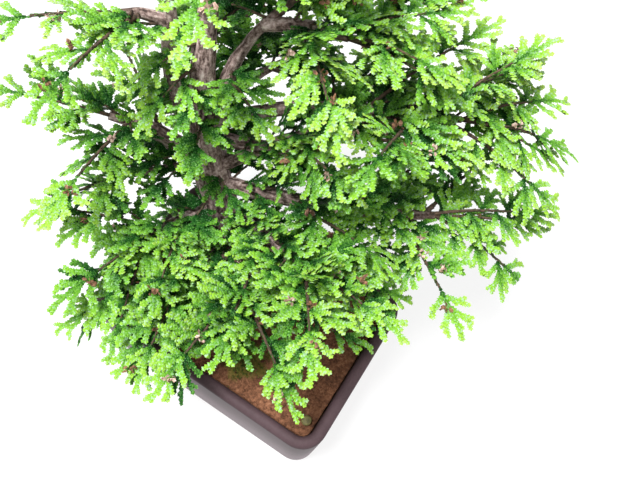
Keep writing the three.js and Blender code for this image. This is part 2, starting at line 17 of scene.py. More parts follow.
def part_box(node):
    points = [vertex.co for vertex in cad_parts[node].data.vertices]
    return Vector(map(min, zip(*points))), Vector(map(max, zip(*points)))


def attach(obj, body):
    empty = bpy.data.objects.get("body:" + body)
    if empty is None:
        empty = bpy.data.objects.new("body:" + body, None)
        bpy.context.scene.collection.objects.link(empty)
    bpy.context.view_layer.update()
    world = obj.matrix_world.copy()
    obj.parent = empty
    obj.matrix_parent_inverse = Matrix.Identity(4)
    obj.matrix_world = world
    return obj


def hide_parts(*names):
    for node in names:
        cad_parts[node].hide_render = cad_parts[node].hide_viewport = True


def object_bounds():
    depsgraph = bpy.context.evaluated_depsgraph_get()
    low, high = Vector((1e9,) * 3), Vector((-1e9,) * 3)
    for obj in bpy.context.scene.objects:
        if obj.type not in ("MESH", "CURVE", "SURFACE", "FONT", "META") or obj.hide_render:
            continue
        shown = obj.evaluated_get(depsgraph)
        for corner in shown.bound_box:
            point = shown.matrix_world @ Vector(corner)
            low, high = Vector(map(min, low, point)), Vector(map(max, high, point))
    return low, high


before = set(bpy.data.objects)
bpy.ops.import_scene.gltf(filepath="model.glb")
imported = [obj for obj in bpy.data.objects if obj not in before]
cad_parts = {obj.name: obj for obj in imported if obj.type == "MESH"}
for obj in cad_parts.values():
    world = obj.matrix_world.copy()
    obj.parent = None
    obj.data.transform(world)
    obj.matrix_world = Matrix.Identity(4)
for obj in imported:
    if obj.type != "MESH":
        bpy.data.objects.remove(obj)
solid_low, solid_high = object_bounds()
MM = 0.001
pot_low, pot_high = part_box("pot")
POT_CENTRE = np.array([(pot_low[0] + pot_high[0]) / 2, (pot_low[1] + pot_high[1]) / 2, 0.0]) / MM
print("solid model, mm:", [round(v / MM, 1) for v in (*solid_low, *solid_high)])
print("middle of the pot, mm:", POT_CENTRE.round(3))

# %% [markdown]
# ## Working units and a few small helpers
# Everything below is measured in millimetres from the middle of the pot, because those are the numbers a
# potter or a grower would use. `to_row` turns them into metres in the shared frame at the last moment, so
# every object can stay at the origin, unturned and unscaled.

# %% Helpers for directions
UP = np.array([0.0, 0.0, 1.0])


def to_row(points):
    return (np.asarray(points, float).reshape(-1, 3) + POT_CENTRE) * MM


def unit(vector):
    return vector / math.sqrt(float(vector @ vector))


def compass(degrees):
    return np.array([math.cos(math.radians(degrees)), math.sin(math.radians(degrees)), 0.0])


def between(one, other, degrees):
    angle = math.radians(degrees)
    return one * math.cos(angle) + other * math.sin(angle)


print("east, turned 30 degrees up:", between(compass(0), UP, 30).round(3))

# %% [markdown]
# Every piece ends as a plain mesh: points, faces and a few named values per point. Blender's operators could
# make them too, but data that is written directly needs no selection and no active object.

# %% Helpers for meshes
def link(made):
    bpy.context.scene.collection.objects.link(made)
    return made


def new_object(name, points, faces, edges=()):
    mesh = bpy.data.meshes.new(name)
    mesh.from_pydata(to_row(points).tolist(), list(edges), [list(face) for face in faces])
    mesh.update()
    if faces:
        mesh.shade_smooth()
    return link(bpy.data.objects.new(name, mesh))


def from_bmesh(name, work):
    mesh = bpy.data.meshes.new(name)
    work.to_mesh(mesh)
    work.free()
    return bpy.data.objects.new(name, mesh)


def add_attribute(thing, name, kind, values):
    layer = thing.data.attributes.new(name, kind, "POINT")
    key = "vector" if kind == "FLOAT_VECTOR" else "value"
    layer.data.foreach_set(key, np.asarray(values, np.float32).ravel())


def triangles(thing):
    thing.data.calc_loop_triangles()
    return len(thing.data.loop_triangles)


# %% [markdown]
# ## A repeatable row of random numbers
# Nature is irregular, so the growth rule needs chance. A tiny generator of our own gives the same row of
# numbers in any program, which lets the fine sprays below land exactly on the coarse ones of the solids.

# %% Random numbers
class Draws:
    def __init__(self, seed):
        self.state = seed

    def one(self):
        self.state = (self.state * 1664525 + 1013904223) % 4294967296
        return self.state / 4294967296

    def span(self, low, high):
        return low + (high - low) * self.one()

    def side(self):
        return 1 if self.one() < 0.5 else -1


example = Draws(29)
print("the first draws of a seed:", [round(example.one(), 3) for _ in range(3)])

# %% [markdown]
# A branch is written here as a function `at(t)`: t runs from 0 at its foot to 1 at its tip, and the answer
# is a point. Its thickness is a function of t too. A curve object could hold both, but functions can be
# asked for any point at once, in the growth rule as well as in the mesh.

# %% Paths and radii
TRUNK_TAPER = 1.35


def smooth_path(points):
    knots = [np.array(point, float) for point in points]
    last = len(knots) - 1

    def at(t):
        place = min(max(t, 0.0), 1.0) * last
        i = min(int(place), last - 1)
        w = place - i
        p1, p2 = knots[i], knots[i + 1]
        p0 = knots[i - 1] if i > 0 else 2 * p1 - p2
        p3 = knots[i + 2] if i + 2 <= last else 2 * p2 - p1
        return 0.5 * (2 * p1 + (p2 - p0) * w + (2 * p0 - 5 * p1 + 4 * p2 - p3) * w * w
                      + (3 * p1 - p0 - 3 * p2 + p3) * w ** 3)
    return at


def heading(at, t):
    return unit(at(min(t + 0.02, 1.0)) - at(max(t - 0.02, 0.0)))


def length_of(at):
    return sum(np.linalg.norm(at((i + 1) / 20) - at(i / 20)) for i in range(20))


def axes_of(direction, normal):
    along = unit(direction)
    face = unit(normal - along * float(along @ normal))
    return along, np.cross(face, along), face


def trunk_radius(start, end):
    return lambda t: end + (start - end) * (1 - t) ** TRUNK_TAPER


def even_radius(start, end):
    return lambda t: start + (end - start) * t


print("a stem from 10 to 2 mm is", round(trunk_radius(10, 2)(0.5), 2), "mm half way up")

# %% [markdown]
# ## The bones of the tree
# A bonsai grower wires a trunk and its main limbs into place and lets the tree fill in the rest. The lists
# below are that wiring: for each stem or limb the radius at its foot and tip and the points that it passes,
# and for each limb where its side twigs leave it and on which side. The last two lists are the sprays at
# the stems' tips (stem, turn, rise, length) and the surface roots (turn, reach, radius).

# %% Stems, limbs and roots
STEMS = [
    ("trunk", 14, 1.5, [(-38, 27, 40), (-41, 29, 72), (-50, 36, 100), (-60, 44, 130), (-66, 53, 158),
                        (-68, 62, 186), (-66, 68, 212), (-61, 71, 234), (-57, 71, 250)]),
    ("left_stem", 8.0, 1.8, [(-55, 40, 114), (-71, 43, 136), (-82, 49, 160), (-83, 53, 178),
                             (-85, 56, 196), (-90, 60, 212)]),
    ("right_stem", 6.0, 1.6, [(-58, 43, 124), (-58, 56, 144), (-55, 66, 164), (-46, 76, 184),
                              (-34, 84, 200)]),
]
LIMBS = [
    ("big_left", 7, 2.4, [(-52, 38, 102), (-69, 33, 118), (-84, 26, 131), (-97, 16, 140)],
     [(0.5, -1), (0.8, 1)]),
    ("thin_left", 3.2, 1.6, [(-54, 38, 108), (-68, 22, 112), (-78, 6, 116)], []),
    ("front_left", 4, 1.8, [(-45, 31, 84), (-54, 8, 90), (-58, -10, 94)], [(0.4, 1), (0.8, -1)]),
    ("front", 4, 1.8, [(-42, 29, 76), (-37, 0, 80), (-32, -18, 84)], [(0.6, 1), (0.85, -1)]),
    ("front_right", 4.5, 1.8, [(-41, 29, 72), (-20, 12, 80), (-4, -4, 90), (6, -11, 94)],
     [(0.45, 1), (0.75, -1)]),
    ("right_front", 5, 2, [(-44, 31, 82), (-8, 24, 96), (16, 16, 106), (28, 14, 112)],
     [(0.35, -1), (0.62, 1), (0.85, -1)]),
    ("right_low", 5, 2, [(-50, 36, 98), (-10, 44, 108), (26, 54, 116), (50, 64, 122), (64, 72, 124)],
     [(0.3, -1), (0.5, 1), (0.72, -1), (0.9, 1)]),
    ("right_back", 4.5, 1.8, [(-58, 43, 124), (-16, 66, 122), (6, 86, 134), (16, 98, 142)],
     [(0.6, 1), (0.85, -1)]),
    ("diagonal", 4.2, 1.8, [(-52, 38, 106), (-32, 50, 126), (-12, 60, 144), (8, 66, 152)],
     [(0.55, -1), (0.8, 1)]),
    ("far_right", 4.2, 1.8, [(-58, 46, 134), (-18, 72, 150), (22, 88, 158), (52, 102, 162)],
     [(0.42, 1), (0.66, -1), (0.85, 1)]),
    ("back", 4, 1.8, [(-60, 47, 138), (-54, 76, 142), (-46, 96, 144)], [(0.55, 1), (0.8, -1)]),
    ("back_left", 4, 1.8, [(-66, 52, 150), (-80, 68, 152), (-88, 80, 152)], [(0.7, -1)]),
    ("upper_left", 3.6, 1.6, [(-83, 53, 180), (-92, 45, 186), (-98, 38, 188)], [(0.5, 1)]),
    ("upper_right", 3.6, 1.6, [(-46, 76, 184), (-24, 80, 192), (-6, 82, 194)], [(0.4, -1), (0.75, 1)]),
    ("upper_back", 3.4, 1.6, [(-67, 65, 196), (-68, 84, 202), (-68, 96, 202)], []),
    ("high_right", 3, 1.5, [(-66, 68, 212), (-48, 72, 219)], []),
    ("high_left", 3, 1.5, [(-67, 68, 206), (-84, 70, 214)], []),
    ("high_front", 2.6, 1.4, [(-62, 70, 228), (-55, 56, 233)], []),
    ("top_back", 2.4, 1.4, [(-60, 71, 238), (-60, 86, 244)], []),
]
STEM_TIP_SPRAYS = [(0, 50, 1.2, 32), (0, 205, 0.9, 32), (1, 172, 0.9, 32), (2, 31, 0.6, 32)]
ROOTS = [(15, 34, 5.0), (75, 15, 4.4), (140, 17, 4.6), (200, 22, 5.0), (262, 30, 4.6), (318, 36, 5.4)]
SOIL_TOP = 53
LINES = {name: smooth_path(points) for name, _, _, points, *_ in [*STEMS, *LIMBS]}
print(len(STEMS), "stems,", len(LIMBS), "limbs,", len(ROOTS), "surface roots")

# %% [markdown]
# ## Growing the sprays
# Twigs leave a limb on alternate sides, and each ends in a flat spray: a short stem with a fan at its end
# and fans on alternate sides. A fan has five fingers, each with its start, turn and length as a share of the
# fan's size. A new stem or fan is only kept where it stays clear of all that has already grown. That test is
# done with small balls strung along every piece, which is rough but quick.

# %% Fans
END_FINGERS = [(0.10, -56, 0.48), (0.30, -32, 0.50), (0.42, 0, 0.58), (0.34, 30, 0.50), (0.14, 54, 0.48)]
SIDE_FINGERS = [(0.20, -44, 0.43), (0.34, -27, 0.48), (0.46, 0, 0.54), (0.30, 31, 0.52), (0.10, 58, 0.47)]
FAN_ARCH, HALF_FINGER, SAMPLE_PITCH = 0.16, 1.4, 2


class Fan:
    def __init__(self, root, direction, normal, size, fingers, mirror):
        self.root, self.size, self.fingers, self.mirror = root, size, fingers, mirror
        self.along, self.side, self.face = axes_of(direction, normal)

    def at(self, a, b):
        drop = FAN_ARCH * (a * a + 0.5 * b * b) / self.size
        return (self.root + np.multiply.outer(a, self.along)
                + np.multiply.outer(self.mirror * b, self.side) - np.multiply.outer(drop, self.face))

    def samples(self, base):
        a, b = [], []
        for start, turn, length in self.fingers:
            angle, reach = math.radians(turn), length * self.size
            count = int(reach / SAMPLE_PITCH) + 1
            for i in range(count + 1):
                r = reach * i / count
                if start * self.size + r < base:
                    continue
                for edge in (-HALF_FINGER, 0.0, HALF_FINGER):
                    a.append(start * self.size + r * math.cos(angle) - edge * math.sin(angle))
                    b.append(r * math.sin(angle) + edge * math.cos(angle))
        return self.at(np.array(a), np.array(b))


print("a fan has", len(END_FINGERS), "fingers")

# %% [markdown]
# On the tree no spray grows through another, since each needs its own light. Comparing meshes would be exact
# but slow, so every piece leaves a trail of points with radii here, and a newcomer is held against them.

# %% Space that is taken
CLEARANCE, NEARBY = 0.3, 16


class TakenSpace:
    def __init__(self):
        self.points, self.radii, self.owners = np.zeros((0, 3)), np.zeros(0), np.zeros(0, int)

    def add(self, points, radii, owner):
        points = np.array(points).reshape(-1, 3)
        self.points = np.vstack([self.points, points])
        self.radii = np.concatenate([self.radii, np.broadcast_to(np.asarray(radii, float), len(points))])
        self.owners = np.concatenate([self.owners, np.full(len(points), owner)])

    def is_free(self, points, radius, owner):
        points = np.array(points).reshape(-1, 3)
        low, high = points.min(0) - NEARBY, points.max(0) + NEARBY
        near = (self.owners != owner) & (self.points > low).all(1) & (self.points < high).all(1)
        gaps = np.sqrt(((points[:, None] - self.points[near][None]) ** 2).sum(2))
        return bool((gaps - self.radii[near][None] - radius - CLEARANCE > 0).all())


# %% [markdown]
# The growth itself asks for its random numbers in a fixed order, so it must not be rearranged: one number
# more or less near the start would give a different tree. It runs in three rounds: the bones, then a stem
# with its end fan for every spray, then the side fans. Each stem and fan tries the places of a short list.
# The pairs below are ranges to draw from: turns in degrees, lengths in millimetres, slopes as shares.

# %% The growth rule's numbers
SEED, WOOD, NOBODY = 29, -1, -9
FLUTE, TWIG_TIP_RADIUS = 0.09, 1.2
STEM_SWINGS = [(0, 0), (16, 8), (-16, 8), (0, 20), (32, 10), (-32, 10), (0, -14), (48, 24), (-48, 24),
               (0, 40)]
FAN_TRIES = [(0, 0, 1), (0, 0.35, 1), (0, -0.3, 1), (-12, 0.2, 0.95), (10, 0.2, 0.95), (0, 0.7, 0.9),
             (0, -0.6, 0.9), (-14, 0, 0.8), (12, 0.5, 0.8), (0, 0.3, 0.7), (-10, -0.4, 0.7), (0, 1, 0.75),
             (0, 0, 0.6), (14, -0.8, 0.75), (8, 0.9, 0.6), (-16, 0.3, 0.55)]
FAN_REACH, STEM_REACH, OWN_STEM_REACH = 1.4, 1.1, 0.3
FAN_BASE, SHARED_BASE, PROBE_SIZE = 3, 5, 25
FIRST_FAN, LAST_SIDE_FAN, SIDE_FANS = 0.08, 0.6, 3
TWIG_TURN, TWIG_RISE, TWIG_LENGTH = (40, 60), (-0.08, 0.30), (8, 14)
FACE_TILT, FACE_ROLL, TWIG_SPRAY, LIMB_SPRAY = (0.05, 0.45), (-0.2, 0.3), (30, 38), (32, 40)
STEM_SAG, END_SIZE, END_ROLL, END_SHRINKS = (0.05, 0.2), (25, 29), (-0.25, 0.25), (1, 0.9, 0.8, 0.7)
SIDE_TURN, SIDE_TWIST, SIDE_PITCH, SIDE_SIZE = (46, 60), (-0.1, 0.4), (-0.15, 0.25), (23, 28)
print(len(STEM_SWINGS), "tries for a stem and", len(FAN_TRIES), "for a side fan")


# %% Grow the bones
def grow_bones(draws, taken):
    bones, ends = [], []

    def add_bone(kind, name, at, radius_at, samples):
        shares = [i / samples for i in range(samples + 1)]
        bulge = FLUTE if kind == "stem" else 0.0
        bones.append((kind, name, at, radius_at))
        taken.add([at(t) for t in shares],
                  [radius_at(t) * (1 + bulge * (1 - t) * math.cos(4 * t)) for t in shares], WOOD)

    for name, start, end, _ in STEMS:
        add_bone("stem", name, LINES[name], trunk_radius(start, end), 80)
    for name, start, end, _, twigs in LIMBS:
        at = LINES[name]
        add_bone("limb", name, at, even_radius(start, end), 32)
        for t, side in twigs:
            root, forward = at(t), heading(at, t)
            sideways = unit(np.cross(UP, forward)) * side
            aim = between(forward, sideways, draws.span(*TWIG_TURN))
            aim = unit(aim + UP * draws.span(*TWIG_RISE))
            tip = root + aim * draws.span(*TWIG_LENGTH)
            add_bone("twig", name, smooth_path([root, tip]), even_radius(end, TWIG_TIP_RADIUS), 8)
            normal = UP + aim * draws.span(*FACE_TILT)
            normal = normal + sideways * draws.span(*FACE_ROLL)
            ends.append((name, tip, aim, normal, draws.span(*TWIG_SPRAY)))
        aim = heading(at, 0.98)
        normal = UP + aim * draws.span(*FACE_TILT)
        ends.append((name, at(1.0), aim, normal, draws.span(*LIMB_SPRAY)))
    for i, turn, rise, length in STEM_TIP_SPRAYS:
        name, aim = STEMS[i][0], compass(turn) + UP * rise
        ends.append((name, LINES[name](1.0), aim, UP + aim * 0.3, length))
    return bones, ends


draws, taken = Draws(SEED), TakenSpace()
bones, ends = grow_bones(draws, taken)
print(len(bones), "bones with", len(ends), "ends for sprays")


# %% Grow the sprays
def keep_fan(spray, fan, taken):
    spray["fans"].append(fan)
    taken.add(fan.samples(FAN_BASE), FAN_REACH, spray["owner"])
    spray["own"].add(fan.samples(SHARED_BASE), FAN_REACH, spray["owner"])


def grow_stem(draws, taken, owner, name, root, direction, normal, length):
    sag, first_side = draws.span(*STEM_SAG), draws.side()
    along, side, face = axes_of(direction, normal)
    for yaw, pitch in STEM_SWINGS:
        turned = axes_of(between(between(along, side, yaw), face, pitch), face)

        def at(t, aim=turned[0]):
            return root + aim * (TWIG_TIP_RADIUS + length * t) - UP * length * sag * t * t
        stem = [at(i / 10) for i in range(11)]
        probe = Fan(at(1.0), heading(at, 1.0), turned[2], PROBE_SIZE, END_FINGERS, 1)
        if not (taken.is_free(stem[2:], STEM_REACH, NOBODY)
                and taken.is_free(probe.samples(FAN_BASE), FAN_REACH, NOBODY)):
            continue
        own = TakenSpace()
        taken.add(stem, STEM_REACH, owner)
        own.add(stem, OWN_STEM_REACH, owner)
        spray = dict(name=name, owner=owner, at=at, turned=turned, side=first_side, own=own, fans=[])
        size, roll = draws.span(*END_SIZE), draws.span(*END_ROLL)
        for shrink in END_SHRINKS:
            fan = Fan(at(1.0), heading(at, 1.0), turned[2] + turned[1] * roll, size * shrink, END_FINGERS, 1)
            roll = 0
            if taken.is_free(fan.samples(FAN_BASE), FAN_REACH, owner):
                keep_fan(spray, fan, taken)
                break
        return [spray]
    return []


def grow_side_fans(draws, taken, spray):
    along, across, face = spray["turned"]
    for j in range(SIDE_FANS):
        t = FIRST_FAN + (LAST_SIDE_FAN - FIRST_FAN) * j / (SIDE_FANS - 1)
        side = spray["side"] if j % 2 == 0 else -spray["side"]
        turn, twist, pitch = draws.span(*SIDE_TURN), draws.span(*SIDE_TWIST), draws.span(*SIDE_PITCH)
        size, forward = draws.span(*SIDE_SIZE), heading(spray["at"], t)
        for extra, lift, shrink in FAN_TRIES:
            direction = between(forward, across * side, turn + extra) + face * lift
            normal = face - across * side * (lift - twist) + forward * pitch
            fan = Fan(spray["at"](t), direction, normal, size * shrink, SIDE_FINGERS, side)
            if (taken.is_free(fan.samples(FAN_BASE), FAN_REACH, spray["owner"])
                    and spray["own"].is_free(fan.samples(SHARED_BASE), FAN_REACH, NOBODY)):
                keep_fan(spray, fan, taken)
                break


sprays = [spray for owner, end in enumerate(ends) for spray in grow_stem(draws, taken, owner, *end)]
for spray in sprays:
    grow_side_fans(draws, taken, spray)
print(len(sprays), "sprays with", sum(len(spray["fans"]) for spray in sprays), "fans")

# %% [markdown]
# ## Node trees that read like sums
# A node tree for a glaze or a leaf is mostly arithmetic, and arithmetic drawn with boxes is hard to read.
# `Wire` wraps a socket, so that `mask * 0.4 + 0.1` adds the Math nodes by itself. `Board` is any node tree,
# and its method `node` makes every node: settings first, then what goes into the sockets. Colours go
# through Mix nodes, since a Math node would turn them grey.

# %% A small language for node trees
class Wire:
    def __init__(self, board, socket):
        self.board, self.socket = board, socket

    def maths(self, operation, *others):
        return self.board.node("ShaderNodeMath", {"operation": operation}, self, *others)

    def smooth(self, low, high):
        return self.board.node("ShaderNodeMapRange", {"interpolation_type": "SMOOTHSTEP"}, self, low, high)


def operator(operation, swapped):
    def apply(self, other):
        one, two = (other, self) if swapped else (self, other)
        return self.board.node("ShaderNodeMath", {"operation": operation}, one, two)
    return apply


for sign, operation in (("add", "ADD"), ("sub", "SUBTRACT"), ("mul", "MULTIPLY")):
    setattr(Wire, f"__{sign}__", operator(operation, False))
    setattr(Wire, f"__r{sign}__", operator(operation, True))


class Board:
    def __init__(self, tree):
        self.tree = tree

    def plug(self, value, socket):
        if isinstance(value, Wire):
            self.tree.links.new(value.socket, socket)
        else:
            is_colour = socket.type == "RGBA" and len(value) == 3
            socket.default_value = (*value, 1) if is_colour else value

    def node(self, kind, settings=None, *values, output=None, **named):
        made = self.tree.nodes.new(kind)
        for key, value in (settings or {}).items():
            if key == "stops":
                self.fill_ramp(made.color_ramp, value)
            else:
                setattr(made, key, value)
        shown = [socket for socket in made.inputs if socket.enabled]
        for socket, value in zip(shown, values):
            self.plug(value, socket)
        for key, value in named.items():
            self.plug(value, next(socket for socket in shown if socket.name == key.replace("_", " ")))
        return Wire(self, next(s for s in made.outputs if s.enabled and output in (None, s.name)))

    @staticmethod
    def fill_ramp(ramp, stops):
        while len(ramp.elements) < len(stops):
            ramp.elements.new(1.0)
        for element, (place, colour) in zip(ramp.elements, stops):
            element.position, element.color = place, (*colour, 1)


# %% [markdown]
# A `Finish` is one material. Its textures are laid out in the object's own coordinates, which are metres
# here, so a noise scale of 500 means grains of about two millimetres.

# %% Finishes
class Finish(Board):
    def __init__(self, name, **sockets):
        self.material = bpy.data.materials.new(name)
        self.material.use_nodes = True
        super().__init__(self.material.node_tree)
        self.set(**sockets)
        print("finish:", name)

    def set(self, **sockets):
        shader = self.tree.nodes["Principled BSDF"]
        for name, value in sockets.items():
            self.plug(value, shader.inputs[name.replace("_", " ")])

    def place(self):
        return self.node("ShaderNodeTexCoord", output="Object")

    def attribute(self, name, output="Fac"):
        return self.node("ShaderNodeAttribute", {"attribute_name": name}, output=output)

    def noise(self, where, scale, detail, roughness):
        return self.node("ShaderNodeTexNoise", {"noise_dimensions": "3D"}, where, scale, detail, roughness)

    def ramp(self, value, *stops):
        return self.node("ShaderNodeValToRGB", {"stops": stops}, value)

    def mix(self, amount, one, other):
        return self.node("ShaderNodeMix", {"data_type": "RGBA"}, amount, one, other)

    def bump(self, height, distance, strength):
        return self.node("ShaderNodeBump", Strength=strength, Distance=distance, Height=height)


# %% [markdown]
# ## Small trees of Geometry Nodes
# What repeats is made with Geometry Nodes, built in code. Each tree gets named inputs for its sizes, and a
# seed where it draws random numbers. They are set through the socket's identifier, before anything is
# evaluated. At the end the result is baked to a plain mesh, because instances and live modifiers would be
# lost when the piece is exported.

# %% Recipes
class Recipe(Board):
    def __init__(self, name, **inputs):
        super().__init__(bpy.data.node_groups.new(name, "GeometryNodeTree"))
        new_socket = self.tree.interface.new_socket
        new_socket("Geometry", in_out="OUTPUT", socket_type="NodeSocketGeometry")
        new_socket("Geometry", in_out="INPUT", socket_type="NodeSocketGeometry")
        self.values = {}
        for key, (kind, value) in inputs.items():
            made = new_socket(key, in_out="INPUT", socket_type="NodeSocket" + kind)
            self.values[key] = (made.identifier, value)
        self.start = self.tree.nodes.new("NodeGroupInput")
        self.end = self.tree.nodes.new("NodeGroupOutput")

    def given(self, name):
        return Wire(self, self.start.outputs[name])

    def vector(self, operation, *values):
        return self.node("ShaderNodeVectorMath", {"operation": operation}, *values)

    def attribute(self, name, kind="FLOAT"):
        return self.node("GeometryNodeInputNamedAttribute", {"data_type": kind}, Name=name)

    def store(self, geometry, name, value, kind="FLOAT"):
        return self.node("GeometryNodeStoreNamedAttribute", {"data_type": kind, "domain": "POINT"},
                         Geometry=geometry, Name=name, Value=value)

    def shape_of(self, name):
        return self.node("GeometryNodeObjectInfo", {"transform_space": "ORIGINAL"}, output="Geometry",
                         Object=self.given(name))

    def random(self, kind, low, high):
        return self.node("FunctionNodeRandomValue", {"data_type": kind}, Min=low, Max=high,
                         Seed=self.given("Seed"))

    def bake(self, geometry, source, name, material, keep=(), **changes):
        real = self.node("GeometryNodeRealizeInstances", Geometry=geometry)
        done = self.node("GeometryNodeSetMaterial", Geometry=real, Material=material)
        self.plug(done, self.end.inputs[0])
        modifier = source.modifiers.new(self.tree.name, "NODES")
        modifier.node_group = self.tree
        for key, (identifier, value) in self.values.items():
            modifier[identifier] = changes.get(key, value)
        shown = source.evaluated_get(bpy.context.evaluated_depsgraph_get())
        mesh = bpy.data.meshes.new_from_object(shown)
        mesh.name = name
        for layer in [a.name for a in mesh.attributes]:
            if layer not in (*keep, "position", "sharp_face") and not layer.startswith("."):
                mesh.attributes.remove(mesh.attributes[layer])
        mesh.materials.clear()
        mesh.materials.append(material)
        bpy.data.objects.remove(source)
        made = link(bpy.data.objects.new(name, mesh))
        print(name, "has", triangles(made), "triangles")
        return made

# %% [markdown]
# ## Bark
# An old cypress sheds its bark in long thin strips, so the trunk is furrowed lengthwise, grey on the ridges
# and pinkish brown in the clefts, while young twigs are smooth and reddish. The furrows could be sculpted.
# Here each limb is a curve with a radius, swept by Geometry Nodes, and a noise that is stretched along the
# limb pushes the surface in and out. The same stretched coordinates are kept for the colours. Roots run from
# the trunk's foot into the soil, and short stubs show where shoots were cut back.

# %% Curves of the wood
RELIEF_SHARE, LEAST_RELIEF, MOST_RELIEF = 0.13, 0.10, 1.3


class Wood:
    def __init__(self):
        self.points, self.edges, self.radii, self.depths = [], [], [], []

    def add(self, at, radius_at, pitch=1.5, relief=1.0):
        count = max(3, int(length_of(at) / pitch))
        for i in range(count + 1):
            if i:
                self.edges.append((len(self.points) - 1, len(self.points)))
            radius = radius_at(i / count)
            self.points.append(at(i / count))
            self.radii.append(radius * MM)
            self.depths.append(relief * min(RELIEF_SHARE * radius + LEAST_RELIEF, MOST_RELIEF) * MM)

    def curves(self, name):
        made = new_object(name + "_curves", self.points, [], self.edges)
        add_attribute(made, "girth", "FLOAT", self.radii)
        add_attribute(made, "relief", "FLOAT", self.depths)
        print(name, "follows", len(self.points), "rings")
        return made


# %% [markdown]
# The old wood is the trunk with its stems, limbs, roots and stubs, and the twigs are kept apart, since they
# need fewer sides. Roots and stubs are only short paths, added to the same list as the limbs. Each one starts
# well inside the wood that carries it, so no joint between the two has to be modelled.

# %% Limbs, roots, stubs and twigs
ROOT_TIP_RADIUS, STUB_OVERHANG, STUB_RADII = 1.6, 4.5, (1.9, 1.4)
TWIG_RADII, TWIG_FROM, TWIG_RUN = (1.05, 0.55), -0.08, 1.06
STUBS = [("far_right", 0.45, 1), ("far_right", 0.62, -1), ("right_back", 0.5, 1), ("diagonal", 0.45, -1),
         ("big_left", 0.3, 1), ("right_low", 0.4, 1), ("front_right", 0.35, -1)]
FOOT_RADII = {name: start for name, start, *_ in LIMBS}


def root_line(turn, reach):
    foot = LINES["trunk"](0) * (1, 1, 0) + UP * SOIL_TOP
    course = [(3, 8), (0.4 * reach, 1.5), (0.75 * reach, -2.5), (reach, -8)]
    return smooth_path([foot + compass(turn) * out + UP * rise for out, rise in course])


def stub_line(name, share, side):
    foot, forward = LINES[name](share), heading(LINES[name], share)
    aim = unit(np.cross(UP, forward) * side + UP * 0.8 + forward * 0.3)
    length = FOOT_RADII[name] + STUB_OVERHANG
    return lambda t: foot + aim * t * length


old_wood, twig_wood = Wood(), Wood()
for kind, name, at, radius_at in bones:
    (twig_wood if kind == "twig" else old_wood).add(at, radius_at)
for turn, reach, radius in ROOTS:
    old_wood.add(root_line(turn, reach), even_radius(radius, ROOT_TIP_RADIUS), 1.2)
for row in STUBS:
    old_wood.add(stub_line(*row), even_radius(*STUB_RADII), 1.0, 0.6)
for spray in sprays:
    twig_wood.add(lambda t, at=spray["at"]: at(TWIG_RUN * t + TWIG_FROM), even_radius(*TWIG_RADII), 2.5, 0.3)
print(len(old_wood.points), "rings of old wood,", len(twig_wood.points), "of twigs so far")

# %% [markdown]
# The bark's finish reads two attributes: `furrow`, coordinates that run round and along each limb, and
# `girth`, the limb's radius. Thick limbs are grey and cracked; thin ones are smooth, warm and greener.

# %% Bark finish
bark = Finish("old_bark", Roughness=0.85, Specular_IOR_Level=0.3)
strips = bark.noise(bark.attribute("furrow", "Vector"), 420, 6, 0.62)
flakes = bark.noise(bark.place(), 620, 5, 0.6)
# Painted shade: the lowest stop is almost black, deep in the furrows that the bump below sinks with the same
# noise.
cracked = bark.ramp(strips * 0.62 + flakes * 0.38, (0.38, (0.020, 0.012, 0.011)),
                    (0.46, (0.130, 0.085, 0.074)), (0.54, (0.330, 0.245, 0.222)),
                    (0.64, (0.620, 0.520, 0.480)))
young = bark.ramp(flakes, (0.35, (0.030, 0.026, 0.016)), (0.55, (0.085, 0.052, 0.034)),
                  (0.75, (0.150, 0.105, 0.060)))
thick = bark.attribute("girth").smooth(0.0012, 0.0030)
bark.set(Base_Color=bark.mix(thick, young, cracked), Roughness=0.95 - strips * 0.25,
         Normal=bark.bump(strips * 0.7 + flakes * 0.5, 0.0010, 0.9))

# %% [markdown]
# ## Scale leaves
# The leaves of a hinoki are tiny scales that lie flat in opposite pairs, each pair over the foot of the next,
# so that a branchlet looks like a plump flattened cord with toothed edges. One joint of that cord is modelled
# here: a domed scale between two side scales whose blunt tips stand out. It has only twelve triangles. Its
# attribute `crown` is 0 at the foot and 1 at the tip, and the finish uses it for a painted shade at the foot
# of each joint and a painted highlight at its tip.

# %% One joint of scales
OUTLINE = [(-0.26, 0.0, -0.14), (-0.56, 0.76, -0.06), (-0.34, 0.82, 0.0), (0.0, 1.12, 0.04),
           (0.34, 0.82, 0.0), (0.56, 0.76, -0.06), (0.26, 0.0, -0.14)]
DOME = (0.0, 0.62, 0.24)
CROWNS = [0.0, 0.9, 0.6, 1.0, 0.6, 0.9, 0.0, 0.55]
count = len(OUTLINE)
scale_faces = [((i + 1) % count, i, count) for i in range(count)] + [tuple(range(count))]
scale_mesh = bpy.data.meshes.new("scale_pair")
scale_mesh.from_pydata([*OUTLINE, DOME], [], scale_faces)
scale_mesh.shade_flat()
scale_pair = bpy.data.objects.new("scale_pair", scale_mesh)
add_attribute(scale_pair, "crown", "FLOAT", CROWNS)
print("one joint of scales has", triangles(scale_pair), "triangles")

# %% [markdown]
# ## From fans to branchlets
# A fan of the solid model has five plain fingers. A real one has branchlets along every finger, on alternate
# sides and shorter at both its ends. `fan_scales` lists where each joint of scales sits on the fan's flat
# layout: its place, its heading, its size, its age (0 is old, 1 is new) and how far it droops. `lay_on` then
# bends the whole list over the fan's arched face at once.

# %% Cords of joints
STEP, OVERLAP, THICKNESS = 1.42, 1.6, 0.55
TIP_WIDTH, TAPER, AGE_CURVE = 0.84, 0.12, 1.3
chance = Draws(407)


